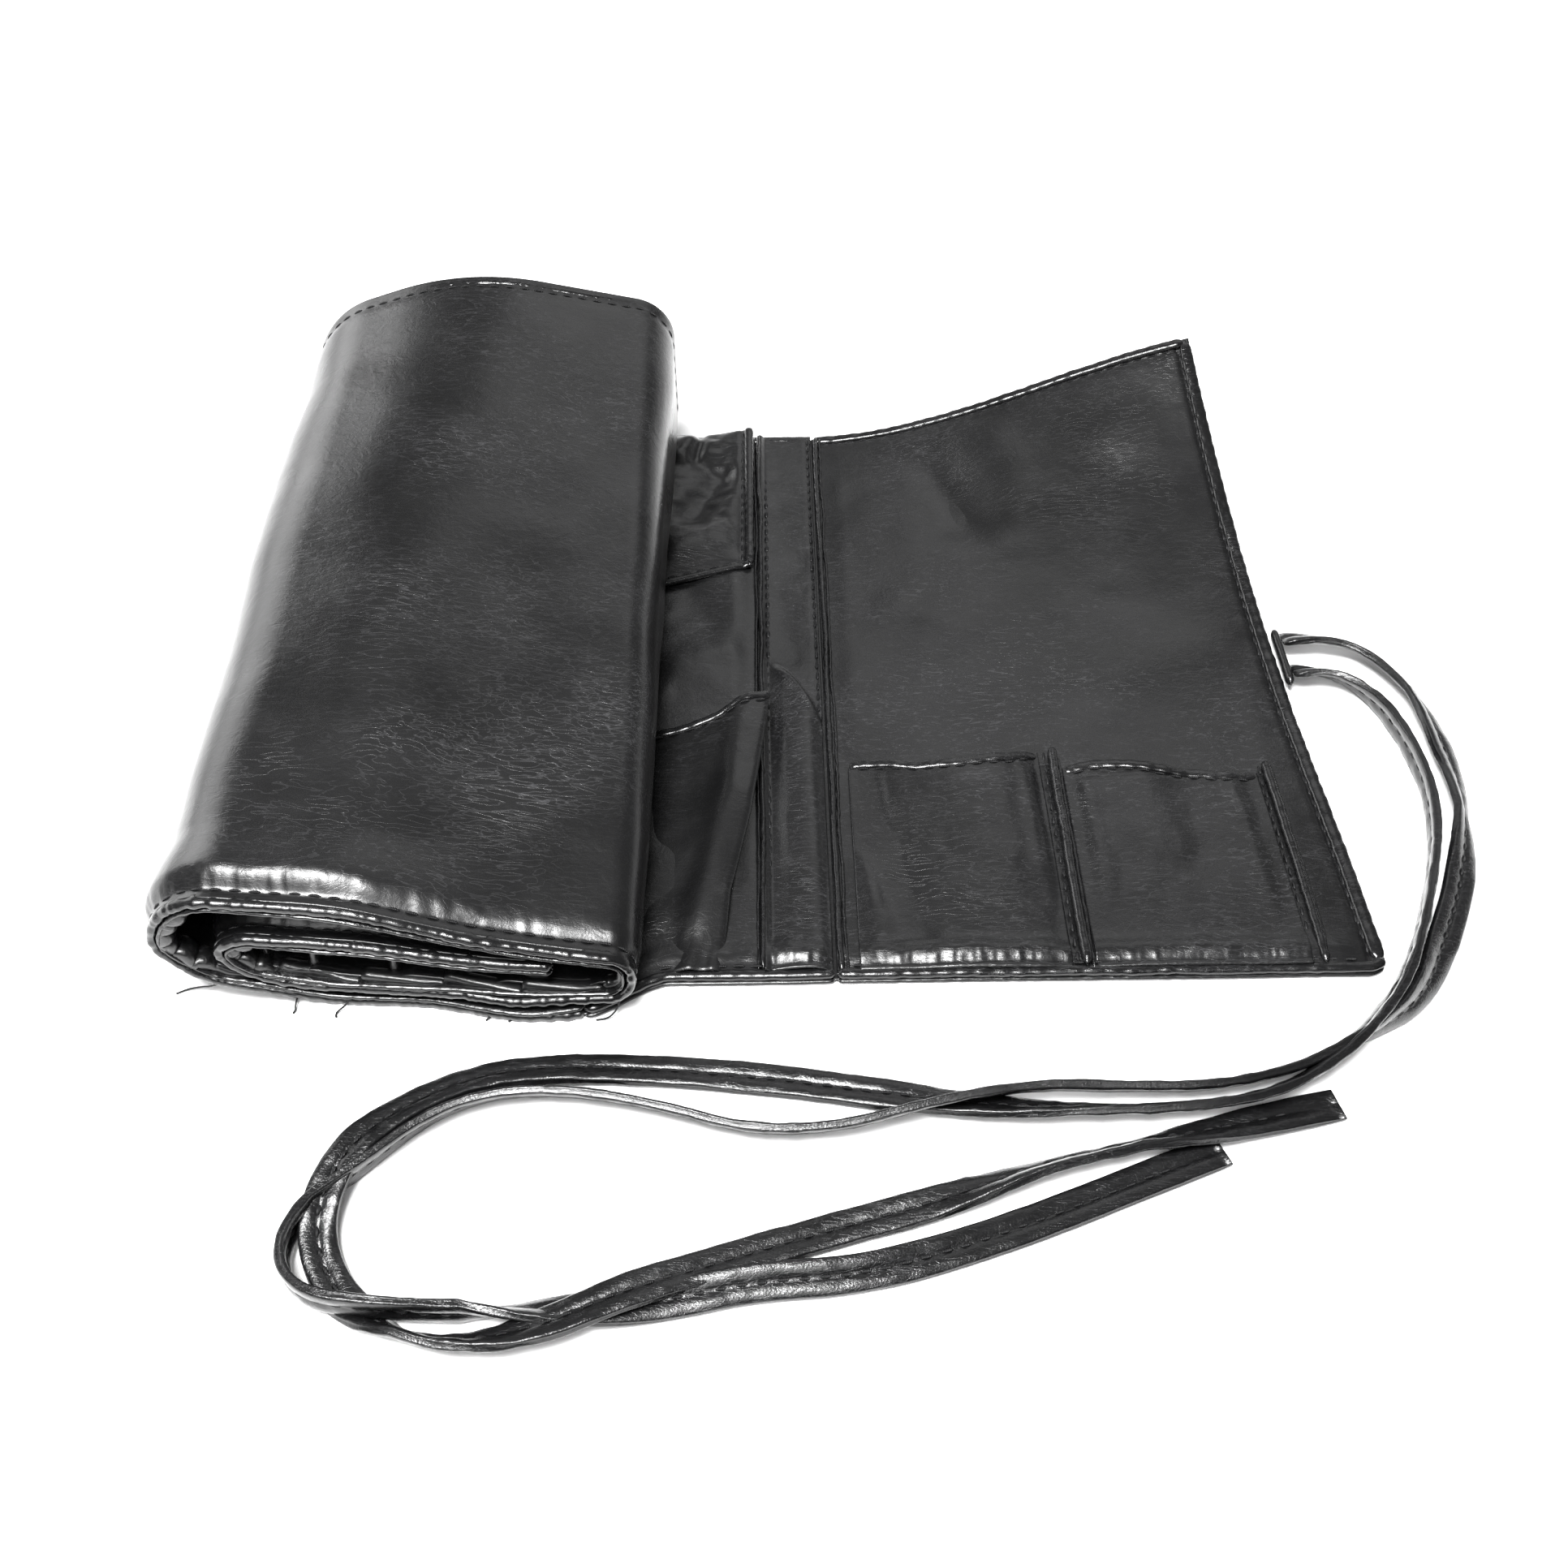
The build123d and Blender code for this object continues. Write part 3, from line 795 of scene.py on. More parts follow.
def edge_band(name, line, side, up, half_width, half_height, pucker, seed, body, node=None):
    """A turned and stitched edge: a rounded band that swells a little between its stitches."""
    along = lengths_along(line)
    beat = np.cos(2 * math.pi * along / STITCH_PITCH + 1.5 * noise(along / 23.0, seed, 0.0))
    swell = 1 + pucker * beat + pucker * noise(along / 2.4, seed, 3.0)
    ends = round_ends(len(line), 4)
    shift = up * (0.12 * noise(along / 6.0, seed, 9.0))[:, None]
    size = ends * swell
    band = tube(name, line + shift, side, up, half_width * size, half_height * size, BINDING)
    dress(band, body, node)


side_y = np.arange(FLAT_FRONT + 4.2, FLAT_BACK - 1.0, HEM_STEP)
side_x = right_edge(side_y) - 1.75
side_line = line_of(side_x, side_y, curl(side_x, side_y) + 1.18)
_, side_out, side_up = level_frame(side_line)
edge_band(
    "end_side_hem_band", side_line, side_out, side_up, 1.75, 0.95, 0.04, 2.0, "end_flap", "end_side_hem"
)

back_x = np.arange(SEAM_X + 0.4, right_edge(FLAT_BACK) - 1.0, HEM_STEP)
back_y = FLAT_BACK - 1.75
back_line = line_of(back_x, back_y, curl(back_x, back_y) + 1.38)
back_along = tangents(back_line)
back_out = all_along(BACK, back_line)
back_up = np.cross(back_along, back_out)
edge_band("end_back_hem_band", back_line, back_out, back_up, 1.7, 1.15, 0.05, 4.0, "end_flap", "end_back_hem")


def laid_line(xs, ys, surface, lift=0.0):
    """A line of points on a surface given by x and y."""
    x, y, z = surface(xs, ys)
    return line_of(x, y, z + lift)


stitch_y = np.arange(FLAT_FRONT + 5, FLAT_BACK - 4, STITCH_STEP)
add_stitches(
    "end_side_stitches",
    laid_line(right_edge(stitch_y) - SEAM_INSET - 0.2, stitch_y, lining_surface, 0.12),
    UP,
    "end_flap",
    length=3.2,
    width=1.0,
)
stitch_x = np.arange(SEAM_X + 1.5, right_edge(FLAT_BACK) - 4, STITCH_STEP)
add_stitches(
    "end_back_stitches",
    laid_line(stitch_x, FLAT_BACK - SEAM_INSET - 0.2, lining_surface, 0.05),
    UP,
    "end_flap",
)


# ---------------------------------------------------------------- small pockets on the end flap
def skew_arch(share, crest):
    """0 at both ends and 1 at the crest."""
    share = np.clip(share, 0, 1)
    rising = np.sin(math.pi / 2 * np.minimum(share / crest, 1))
    falling = np.cos(math.pi / 2 * np.maximum((share - crest) / (1 - crest), 0))
    return np.where(share < crest, rising, falling)


RIM_BACK = FLAT_FRONT + 4.0
MOUTH_SEAM = 2.75


def pocket_surface(span, mouth, crest, rises, seed, dents):
    """The panel of a small pocket: arched between its side seams, puckered at the rim."""

    def surface(x, y):
        share = (x - span[0]) / (span[1] - span[0])
        depth = (y - RIM_BACK) / (mouth - RIM_BACK)
        rise = np.interp(depth, [0, 0.45, 1], rises)
        z = PANEL_TOP + 0.1 + rise * skew_arch(share, crest)
        inner = smooth(share, 0, 0.12) * smooth(1 - share, 0, 0.12)
        z = z + inner * (0.35 * waves(x, y, 24, 3, seed) + 0.12 * noise(x / 3.0, y / 8.0, seed))
        z = z + front_swell(x, y, seed)
        z = z + groove(y - FLAT_FRONT - SEAM_INSET) + groove(mouth - MOUTH_SEAM - y, 0.25)
        for dent in dents:
            z = z + bump_line(x, y, *dent, 0.25)
        laid = lining_surface(x, y)[2] + PANEL_T + 0.05
        gap = z - laid
        return x, y, laid + (gap + np.sqrt(gap**2 + 0.09)) / 2

    return surface


def pocket(name, span, mouth_points, crest, rises, seed, dents, node):
    """A small pocket's panel, with its turned and stitched mouth."""
    mouth_places = np.transpose(mouth_points)
    mouth = float(np.mean(mouth_places[1]))
    surface = pocket_surface(span, mouth, crest, rises, seed, dents)

    def placed(x, v):
        y = PANEL_FRONT + (np.interp(x, *mouth_places) - FLAT_FRONT - 2.2) * v
        return surface(x, y)

    xs = spans(span[0], span[1], 0.45)
    vs = np.concatenate([np.linspace(0, 0.985, 90), [0.99, 0.994, 0.997, 0.999, 1]])
    x, v = np.meshgrid(xs, vs, indexing="ij")
    panel = rounded_sheet(
        name, np.stack(placed(x, v), axis=2), edge_distance(x, xs[0], xs[-1]), PANEL_T, PANEL, least=0.05
    )
    dress(panel, "end_flap", node)
    fine = np.linspace(span[0] + 0.6, span[1] - 0.6, 90)
    mouth_y = np.interp(fine, *mouth_places)
    hem_line = laid_line(fine, mouth_y - 1.2, surface, -0.1)
    forward = tangents(hem_line)
    away = unit(np.cross([0, 0, 1.0], forward))
    lift = np.cross(forward, away)
    edge_band(f"{name}_mouth_hem", hem_line, away, lift, 1.35, 0.72, 0.06, seed, "end_flap")
    sewn_line = laid_line(fine, mouth_y - MOUTH_SEAM, surface, 0.12)
    add_stitches(f"{name}_mouth_stitches", sewn_line, UP, "end_flap")


pocket(
    "pocket_a_panel",
    POCKET_A,
    [(POCKET_A[0], -37.5), (18.5, -35.4), (21, -35.0), (26, -35.8)]
    + [(34, -37.8), (44, -37.8), (56.5, -36.2), (POCKET_A[1], -33.4)],
    0.75,
    [0.9, 2.6, 3.6],
    2.5,
    [
        ((20, -32), (25, -72), 3.8, -1.3),
        ((23, -54), (32, -98), 4.4, -1.2),
        ((19, -62), (22, -98), 2.8, 0.6),
        ((44, -34), (47, -90), 9.0, 0.8),
        ((61, -30), (62.5, -85), 2.4, 0.8),
    ],
    "pocket_a",
)
pocket(
    "pocket_b_panel",
    POCKET_B,
    [(POCKET_B[0], -39.4), (73, -38.4), (78, -37.5), (84, -37.9)]
    + [(91, -38.9), (99, -40.4), (109, -41.5), (POCKET_B[1], -41.2)],
    0.42,
    [0.7, 1.6, 2.4],
    4.5,
    [
        ((74.5, -34), (76, -88), 3.2, 0.9),
        ((98, -36), (102, -80), 6.0, -0.8),
        ((112, -36), (114, -96), 3.0, 0.9),
    ],
    "pocket_b",
)


def pinched_seam(name, line, half_width, height, seed, body, node=None):
    """A sewn fold that stands over the surface it crosses, with fine ripples along it."""
    along = lengths_along(line)
    _, aside, up = level_frame(line)
    wander = 0.25 * noise(along / 14.0, seed, 1.0)
    wander = wander + 0.10 * noise(along / 2.1, seed, 2.0)
    centres = line + aside * wander[:, None]
    swell = (1 + 0.10 * noise(along / 1.6, seed, 6.0)) * round_ends(len(line), 4)
    band = tube(name, centres, aside, up, half_width * swell, height * swell, BINDING, power=2.2)
    dress(band, body, node)


fold_y = np.arange(FLAT_FRONT + 2.4, -33.4, FOLD_STEP)
divider_line = line_of(DIVIDER_X + 0.4, fold_y, 3.5 + path_ease(fold_y, [-98, -60, -34], [0.0, 0.4, 1.6]))
pinched_seam("pocket_divider_fold_band", divider_line, 1.25, 1.5, 3.0, "end_flap", "pocket_divider_fold")
divider_edge = divider_line + np.array([1.7, -1.0, -0.9])
pinched_seam("pocket_divider_edge", divider_edge[:-3], 0.55, 0.9, 5.0, "end_flap")
add_stitches("pocket_divider_stitches", divider_line + np.array([-1.9, 0, -0.35]), (-0.35, 0, 1), "end_flap")

side_y = np.arange(FLAT_FRONT + 2.4, -37.4, FOLD_STEP)
side_fold_x = path_ease(side_y, [-98, -36], [SIDE_FOLD_X + 0.6, SIDE_FOLD_X + 0.3])
side_fold_line = line_of(side_fold_x, side_y, 3.0 + path_ease(side_y, [-98, -36], [0.0, 0.5]))
pinched_seam("pocket_side_fold_band", side_fold_line, 1.15, 1.2, 7.0, "end_flap", "pocket_side_fold")
side_edge = side_fold_line + np.array([1.5, -0.5, -0.75])
pinched_seam("pocket_side_edge", side_edge, 0.5, 0.75, 8.0, "end_flap")
add_stitches("pocket_side_stitches", side_fold_line + np.array([-1.9, 0, -0.3]), (-0.3, 0, 1), "end_flap")

seam_y = np.arange(PANEL_FRONT, FLAT_BACK - 1.4, FOLD_STEP)
seam_curve = 0.25 * noise(seam_y / 40, 3.3, 1.0)
seam_line = line_of(SEAM_X + 1.35 + seam_curve, seam_y, 2.35)
pinched_seam("seam_fold_band", seam_line, 0.75, 0.95, 9.0, "end_flap", "seam_fold")
seam_edge = seam_line + np.array([1.35, 0, -0.35])
pinched_seam("seam_fold_edge", seam_edge, 0.42, 0.7, 10.0, "end_flap")


# ---------------------------------------------------------------- front rim of the end flap
def rim_bands(prefix, xs, seed, walks, body=None, bends=None):
    """The bound front edge: a rolled lip over the cover's own thin edge; the stitch line behind it is made
    separately.
    """
    base = FLAT_FRONT + walks
    lip_y = base + 1.75 + 0.12 * noise(xs / 11, seed, 0.0)
    lip = line_of(xs, lip_y, 1.95 + 0.14 * noise(xs / 8, seed, 1.0))
    thin = line_of(xs, base + 0.75 + 0.1 * noise(xs / 15, seed, 4.0), 0.72)
    for name, line, wide, tall, material, share, stands_for in (
        (f"{prefix}_rim_lip", lip, 1.35, 1.0, BINDING, 0.04, f"{prefix}_rim"),
        (f"{prefix}_rim_edge", thin, 0.75, 0.5, COVER, 0.03, None),
    ):
        forward = tangents(line)
        out = unit(line_of(forward[:, 1], -forward[:, 0], 0.0))
        beat = np.cos(2 * math.pi * xs / STITCH_PITCH + noise(xs / 19, seed, 7.0))
        swell = (1 + share * beat + 1.6 * share * noise(xs / 1.9, seed, 5.0)) * round_ends(len(xs), 3)
        band = tube(name, line, out, all_along(UP, xs), wide * swell, tall * swell, material)
        dress(band, body, stands_for, bends)


rim_x = np.arange(SEAM_X + 0.5, HALF_WIDTH - 0.8, RIM_STEP)
rim_bands("end_front", rim_x, 3.0, corner_pull(rim_x), "end_flap")
rim_stitch_x = np.arange(SEAM_X + 2, HALF_WIDTH - 5, STITCH_STEP)
rim_stitch_line = line_of(rim_stitch_x, FLAT_FRONT + 3.5 + corner_pull(rim_stitch_x), 2.75)
add_stitches("end_front_stitches", rim_stitch_line, (0, -0.3, 1), "end_flap")

# ---------------------------------------------------------------- tack that holds both ties
tack_low, tack_high = box_mm("tie_tack")
tack_y = np.linspace(tack_low[1] + 0.6, tack_high[1] - 0.6, 40)
tack_line = line_of((tack_low[0] + tack_high[0]) / 2, tack_y, 3.9)
tack = tube(
    "tie_tack_fold",
    tack_line,
    all_along(RIGHT, tack_y),
    all_along(UP, tack_y),
    1.05 * round_ends(40, 4) * (1 + 0.06 * noise(tack_y / 2, 1, 1)),
    1.5 * round_ends(40, 4) * (1 + 0.08 * noise(tack_y / 2.6, 4, 1)),
    TIE,
)
dress(tack, "end_flap", "tie_tack")


# ================================================================ middle: strip, pockets and dust flap
MIDDLE_TO_ROLL = ("middle", "roll", (-0.0345, -0.0017, 0.0), (-0.0495, -0.0025, 0.0))


def roll_start(y):
    """Where the flat stretch passes into the roll's own piece."""
    share = (y - ROLL_FRONT) / CASE_DEPTH
    return -44.0 - 11.0 * share


def slant(x, z, share):
    """How far forward (-Y) the roll's turns stand out; most at the right, near the table."""
    low_bulge = 3.2 * np.exp(-(((x + 57) / 15) ** 2)) * (1 - smooth(z, 2.0, 12.0))
    return -(1 - share) * (0.055 * (x + 80) + low_bulge)


def walk(x, share=0.0):
    """How far the sheet's edges shift forward as it runs in under the roll."""
    return (ROLL_FRONT - FLAT_FRONT + slant(x, 0 * x, share)) * smooth(-x, 25.0, 44.0)


def run_in_sheet(name, right, front, back, height, thickness, material, node, relief=None):
    """A flat layer that runs in under the roll, its edges shifting forward with it."""
    us = np.concatenate([[0, 0.004], np.linspace(0.012, 0.988, 46), [0.996, 1]])
    vs = spans(front, back, 2.2)
    u, v = np.meshgrid(us, vs, indexing="ij")
    x = roll_start(v) + (right - roll_start(v)) * u
    z = height + (relief(x, v) if relief else 0 * x)
    top = np.stack([x, v + walk(x, np.clip((v - front) / (back - front), 0, 1)), z], axis=2)
    rim = np.minimum((1 - u) * (right - roll_start(v)), edge_distance(v, front, back))
    piece = rounded_sheet(name, top, rim, thickness, material, least=0.05)
    dress(piece, node=node, bends=MIDDLE_TO_ROLL)


for kind, right, front, back, height, thickness, material in (
    ("cover", 3.0, COVER_FRONT, COVER_BACK, COVER_TOP, COVER_T, COVER),
    ("lining", SEAM_X - 0.4, LINING_FRONT, LINING_BACK, LINING_TOP, LINING_T, LINING),
):
    run_in_sheet(
        f"middle_{kind}_sheet", right, front, back, height, thickness, material, f"middle_{kind}"
    )


def tall_relief(x, y):
    """The tall pocket's panel between the dust flap and the front pocket: soft and dented."""
    inner = smooth(FOLD_X - x, 1.5, 8) * smooth(y, FLAT_FRONT + 3, FLAT_FRONT + 30)
    wave = 0.9 + 0.8 * waves(x, y, 26, 3, 5.0)
    dent = bump_line(x, y, (-30, 40), (-12, 8), 7.0, -0.8) + bump_line(x, y, (-32, 0), (-8, 12), 6.0, 1.2)
    pucker = front_swell(x, y, 3.0)
    return inner * (wave + dent) + pucker + 0.1 + groove(y - FLAT_FRONT - SEAM_INSET)


run_in_sheet(
    "tall_pocket_panel",
    FOLD_X - 1.2,
    PANEL_FRONT,
    52.0,
    PANEL_TOP,
    PANEL_T,
    PANEL,
    "tall_pocket",
    relief=tall_relief,
)


# ---------------------------------------------------------------- the strip and its fold
def strip_surface(x, y):
    """The strip between the pencil pockets and the end flap: hollow at the back, bulged in front."""
    share = (x - FOLD_X) / (SEAM_X - FOLD_X)
    hollow = -0.3 * np.sin(math.pi * np.clip(share, 0, 1)) * smooth(y, -8, 14)
    before_arc = 3.5 - 25 * np.clip(share, 0, 1) ** 1.9 - y
    puff = smooth(before_arc, -1.0, 4.5) * (1 - 0.5 * smooth(before_arc, 30, 90))
    bulge = 2.7 * puff * skew_arch(share, 0.7) * smooth(share, 0.0, 0.4)
    ridge = 0.8 * np.exp(-(((before_arc - 4.0) / 2.2) ** 2)) * smooth(share, 0.1, 0.5)
    soft = 0.25 * waves(x, y, 16, 3, 1.0) * smooth(share, 0, 0.2) * smooth(1 - share, 0, 0.2)
    pucker = front_swell(x, y, 7.0) * smooth(share, 0, 0.15) * smooth(1 - share, 0, 0.15)
    sewn = groove(x - FOLD_X - 1.9) + groove(SEAM_X - 1.2 - x, 0.3) + groove(y - FLAT_FRONT - SEAM_INSET)
    climb = 1.3 * np.exp(-(((x - FOLD_X) / 2.2) ** 2)) + 0.35 * np.exp(-(((x - SEAM_X) / 1.5) ** 2))
    return x, y, PANEL_TOP + 0.1 + hollow + bulge + ridge + soft + pucker + sewn + climb


strip = sheet_over(
    "strip_panel",
    spans(FOLD_X + 0.2, SEAM_X - 0.4, 0.5),
    spans(PANEL_FRONT, FLAT_BACK - 1.4, 1.1),
    strip_surface,
    PANEL_T,
    PANEL,
)
dress(strip, "middle", "strip")

strip_y = np.arange(FLAT_FRONT + 2.4, LINING_BACK, FOLD_STEP)
strip_x = FOLD_X + 0.25 * noise(strip_y / 30, 8.3, 1.0)
strip_height = 3.5 + path_ease(strip_y, [-100, -60, 60, 106], [-0.5, 0.2, 0.4, -0.4])
strip_line = line_of(strip_x, strip_y, strip_height)
pinched_seam("strip_fold_band", strip_line, 0.62, 1.25, 12.0, "middle", "strip_fold")
pinched_seam("strip_fold_edge", strip_line + np.array([-1.1, 0, -0.7]), 0.45, 0.8, 13.0, "middle")
add_stitches("strip_fold_stitches", strip_line + np.array([1.9, 0, -0.75]), (0.3, 0, 1), "middle")
add_stitches("seam_stitches", line_of(SEAM_X - 1.2 + seam_curve, seam_y, 2.95), UP, "middle")


# ---------------------------------------------------------------- front pocket with its standing side
def front_pocket_surface(u, v):
    """u runs from under the roll, over the standing fold and back under it; v from rim to mouth."""
    front = PANEL_FRONT
    fold_x = np.interp(v, [0, 0.26, 0.53, 0.8, 1.0], [-13.8, -12.1, -7.3, -4.2, -2.2])
    crest_z = path_ease(v, [0, 0.25, 0.6, 1.0], [3.8, 6.8, 9.2, 10.4])
    band = path_ease(v, [0, 0.3, 1.0], [14.0, 12.0, 14.0])
    left_z = path_ease(v, [0, 0.3, 1.0], [3.1, 3.2, 3.6])
    shapes = [
        (0.00, -38.0 + 0 * v, left_z - 0.4, -25.5),
        (0.24, (fold_x - band - 38.0) / 2, left_z + 0.40 * (crest_z - 2.2 - left_z), -25.0),
        (0.50, fold_x - band, crest_z - 2.2, -22.6),
        (0.66, fold_x - band * 0.52, crest_z, -18.0),
        (0.80, fold_x - 1.7, crest_z - 0.5, -16.2),
        (0.87, fold_x + 0.1, crest_z - 1.5, -15.9),
        (0.92, fold_x - 0.3, crest_z - 2.4, -15.9),
        (1.00, fold_x - 3.0, np.maximum(3.3, crest_z * 0.35), -17.0),
    ]
    places = [shape[0] for shape in shapes]
    x, z, mouth = (spline_at(u, places, [shape[axis] + 0 * v for shape in shapes]) for axis in (1, 2, 3))
    y = front + (mouth - front) * v
    wave = 0.4 * waves(x + 9, y, 20, 3, 9.0) * smooth(v, 0.02, 0.3) * smooth(u, 0.1, 0.4)
    pucker = 0.6 * noise(u * 14, y / 9.0, 2.0) * np.exp(-((y - front) / 9.0) ** 2)
    return x, y, z + wave + pucker * smooth(u, 0.3, 0.6)


def spline_at(u, places, values):
    """A smooth curve through values at places, evaluated at u (Catmull-Rom)."""
    result = np.zeros(np.broadcast(u, values[0]).shape)
    last = len(places) - 1
    for index in range(last):
        t = (u - places[index]) / (places[index + 1] - places[index])
        inside = (t >= 0) & ((t < 1) | (index == last - 1)) & (t <= 1.0001)
        p1, p2 = values[index], values[index + 1]
        p0 = values[max(index - 1, 0)]
        p3 = values[min(index + 2, last)]
        square, cube = 2 * p0 - 5 * p1 + 4 * p2 - p3, 3 * p1 - p0 - 3 * p2 + p3
        curve = 0.5 * (2 * p1 + (p2 - p0) * t + square * t**2 + cube * t**3)
        result = np.where(inside, curve, result)
    return result


pocket_us = np.concatenate([np.linspace(0, 0.7, 44, endpoint=False), np.linspace(0.7, 1, 36)])
pocket_vs = np.concatenate([np.linspace(0, 0.985, 84), [0.99, 0.995, 0.998, 1]])
front_pocket = sheet_over(
    "front_pocket_panel", pocket_us, pocket_vs, front_pocket_surface, PANEL_T, PANEL, both_sides=False
)
dress(front_pocket, "middle", "front_pocket")

mouth_u = np.linspace(0.02, 0.88, 90)
mouth_line = np.stack(front_pocket_surface(mouth_u, np.full(90, 0.985)), axis=1)
behind = np.stack(front_pocket_surface(mouth_u, np.full(90, 0.95)), axis=1)
mouth_forward = tangents(mouth_line)
mouth_away = unit(mouth_line - behind)
mouth_lift = unit(np.cross(mouth_forward, mouth_away) * np.sign(np.cross(mouth_forward, mouth_away)[:, 2:]))
mouth_line = mouth_line - mouth_lift * 0.35
edge_band("front_pocket_mouth_hem", mouth_line, mouth_away, mouth_lift, 1.2, 0.75, 0.05, 6.0, "middle")
mouth_stitch = np.stack(front_pocket_surface(mouth_u, np.full(90, 0.964)), axis=1)
add_stitches("front_pocket_mouth_stitches", mouth_stitch + mouth_lift * 0.1, mouth_lift, "middle")


# ---------------------------------------------------------------- dust flap
FLAP_LEFT = -36.0
FLAP_TOP = 4.4


def flap_front_edge(x):
    """The dust flap's front edge, which slants forward towards the roll."""
    return FLAP_FRONT + 0.5 - 0.34 * (FLAP_RIGHT - x)


def flap_surface(x, y):
    """The dust flap, folded over from the back: dented, with creases out of the notch in its fold."""
    inner = smooth(FLAP_RIGHT - x, 2.5, 9) * smooth(FLAT_BACK - y, 0, 8)
    inner = inner * smooth(y - flap_front_edge(x), 1.5, 12)
    dent = bump_lines(
        x,
        y,
        ((-12, 92), (-28, 58), 6.0, -3.2, 0.25),
        ((-8, 100), (-26, 84), 4.0, -0.9),
        ((-31, 88), (-23, 106), 4.0, 1.6),
        ((-12, 60), (-34, 44), 5.5, 1.4),
        ((-21, 106), (-25, 86), 1.8, -1.4, 0.4),
    )
    fine = 0.30 * noise(x / 8.0, y / 2.2, 4.0) * smooth(x, -26, -10) * inner
    fine = fine + 0.22 * noise(x / 3.0, y / 3.0, 8.0) * inner
    fall = -1.3 * smooth(y, FLAT_BACK - 4, FLAT_BACK) ** 2
    notch = -1.5 * np.exp(-(((x + 22.5) / 1.7) ** 2)) * smooth(y, FLAT_BACK - 10, FLAT_BACK)
    perk = 2.4 * np.exp(-(((x - FLAP_RIGHT) / 8.0) ** 2)) * smooth(y, 70, FLAT_BACK - 1)
    body = 0.45 * waves(x, y, 20, 3, 6.0) * inner + dent * inner + inner * 1.2
    sewn = groove(FLAP_RIGHT - 3.3 - x) + groove(y - flap_front_edge(x) - 3.0)
    return x, y, FLAP_TOP + body + fine + fall + notch + perk + sewn


def flap_laid(x, v):
    """The dust flap from a place across it and a place from front to back, before its edge slants."""
    shrink = (FLAT_BACK - flap_front_edge(x)) / (FLAT_BACK - FLAP_FRONT)
    return flap_surface(x, FLAT_BACK - (FLAT_BACK - v) * shrink)


flap = sheet_over(
    "dust_flap_panel",
    spans(FLAP_LEFT, FLAP_RIGHT - 0.3, 0.7),
    spans(FLAP_FRONT + 0.3, FLAT_BACK - 0.4, 0.9),
    flap_laid,
    PANEL_T,
    PANEL,
)
MIDDLE_TO_FLAP = ("middle", "flap", (-0.0345, 0, 0), (-0.018, 0, 0))
dress(flap, node="dust_flap", bends=MIDDLE_TO_FLAP)

flap_y = np.arange(FLAP_FRONT + 0.6, FLAT_BACK - 1.0, FOLD_STEP)
flap_side = laid_line(FLAP_RIGHT - 1.3, flap_y, flap_surface, -0.15)
_, flap_out, flap_up = level_frame(flap_side)
edge_band("dust_flap_side_hem", flap_side, flap_out, flap_up, 1.35, 0.8, 0.05, 14.0, "flap", "dust_flap_hem")
side_sewn = laid_line(FLAP_RIGHT - 3.3, flap_y, flap_surface, 0.12)
add_stitches("dust_flap_side_stitches", side_sewn, UP, "flap")
flap_x = np.arange(FLAP_LEFT + 0.5, FLAP_RIGHT - 0.5, FOLD_STEP)
front_edge = laid_line(flap_x, flap_front_edge(flap_x) + 1.0, flap_surface, -0.15)
_, front_out, front_up = level_frame(front_edge)
front_hem = tube("dust_flap_front_hem", front_edge, front_out, front_up, 1.15, 0.8, BINDING)
dress(front_hem, bends=MIDDLE_TO_FLAP)
front_sewn = laid_line(flap_x, flap_front_edge(flap_x) + 3.0, flap_surface, 0.12)
add_stitches("dust_flap_front_stitches", front_sewn, UP, bends=MIDDLE_TO_FLAP)

# ---------------------------------------------------------------- rim and hem of the middle
middle_x = np.arange(-44.0, SEAM_X + 0.2, RIM_STEP)
rim_bands("middle_front", middle_x, 8.0, walk(middle_x), bends=MIDDLE_TO_ROLL)
middle_stitch_x = np.arange(-30.0, SEAM_X - 1, STITCH_STEP)
middle_stitch = line_of(middle_stitch_x, FLAT_FRONT + 3.5 + walk(middle_stitch_x), 2.9)
add_stitches("middle_front_stitches", middle_stitch, (0, -0.3, 1), "middle")
hem_x = np.arange(-55.0, SEAM_X + 0.2, HEM_STEP)
hem_line = line_of(hem_x, FLAT_BACK - 1.75 + walk(hem_x + 9, 1.0), 1.4)
middle_hem = tube(
    "middle_back_hem_band",
    hem_line,
    all_along(BACK, hem_x),
    all_along(UP, hem_x),
    1.7 * (1 + 0.04 * np.cos(2 * math.pi * hem_x / STITCH_PITCH)),
    1.2,
    BINDING,
)
dress(middle_hem, node="middle_back_hem", bends=MIDDLE_TO_ROLL)


# ================================================================ roll
ROLL_FRONT_LINE = [
    (-44.0, 0.0, 0),
    (-136.5, 0.0, 16),
    (-136.5, 36.0, 17),
    (-95.0, 34.5, 80),
    (-32.0, 19.0, 7.2),
    (-32.0, 4.3, 7),
    (-123.0, 4.3, 9),
    (-123.0, 24.0, 9.5),
    (-90.0, 22.5, 80),
    (-50.0, 17.5, 0),
]
ROLL_BACK_LINE = [
    (-55.0, 0.0, 0),
    (-134.0, 0.0, 26),
    (-134.0, 48.0, 28),
    (-86.0, 63.5, 80),
    (-28.5, 51.5, 13),
    (-28.5, 4.3, 14),
    (-120.0, 4.3, 17),
    (-120.0, 40.0, 18),
    (-86.0, 50.0, 80),
    (-45.0, 42.0, 0),
]
RUN_POINTS = [70, 34, 56, 84, 14, 60, 22, 44, 60]
ARC_POINTS = [34, 40, 36, 30, 22, 26, 30, 22]


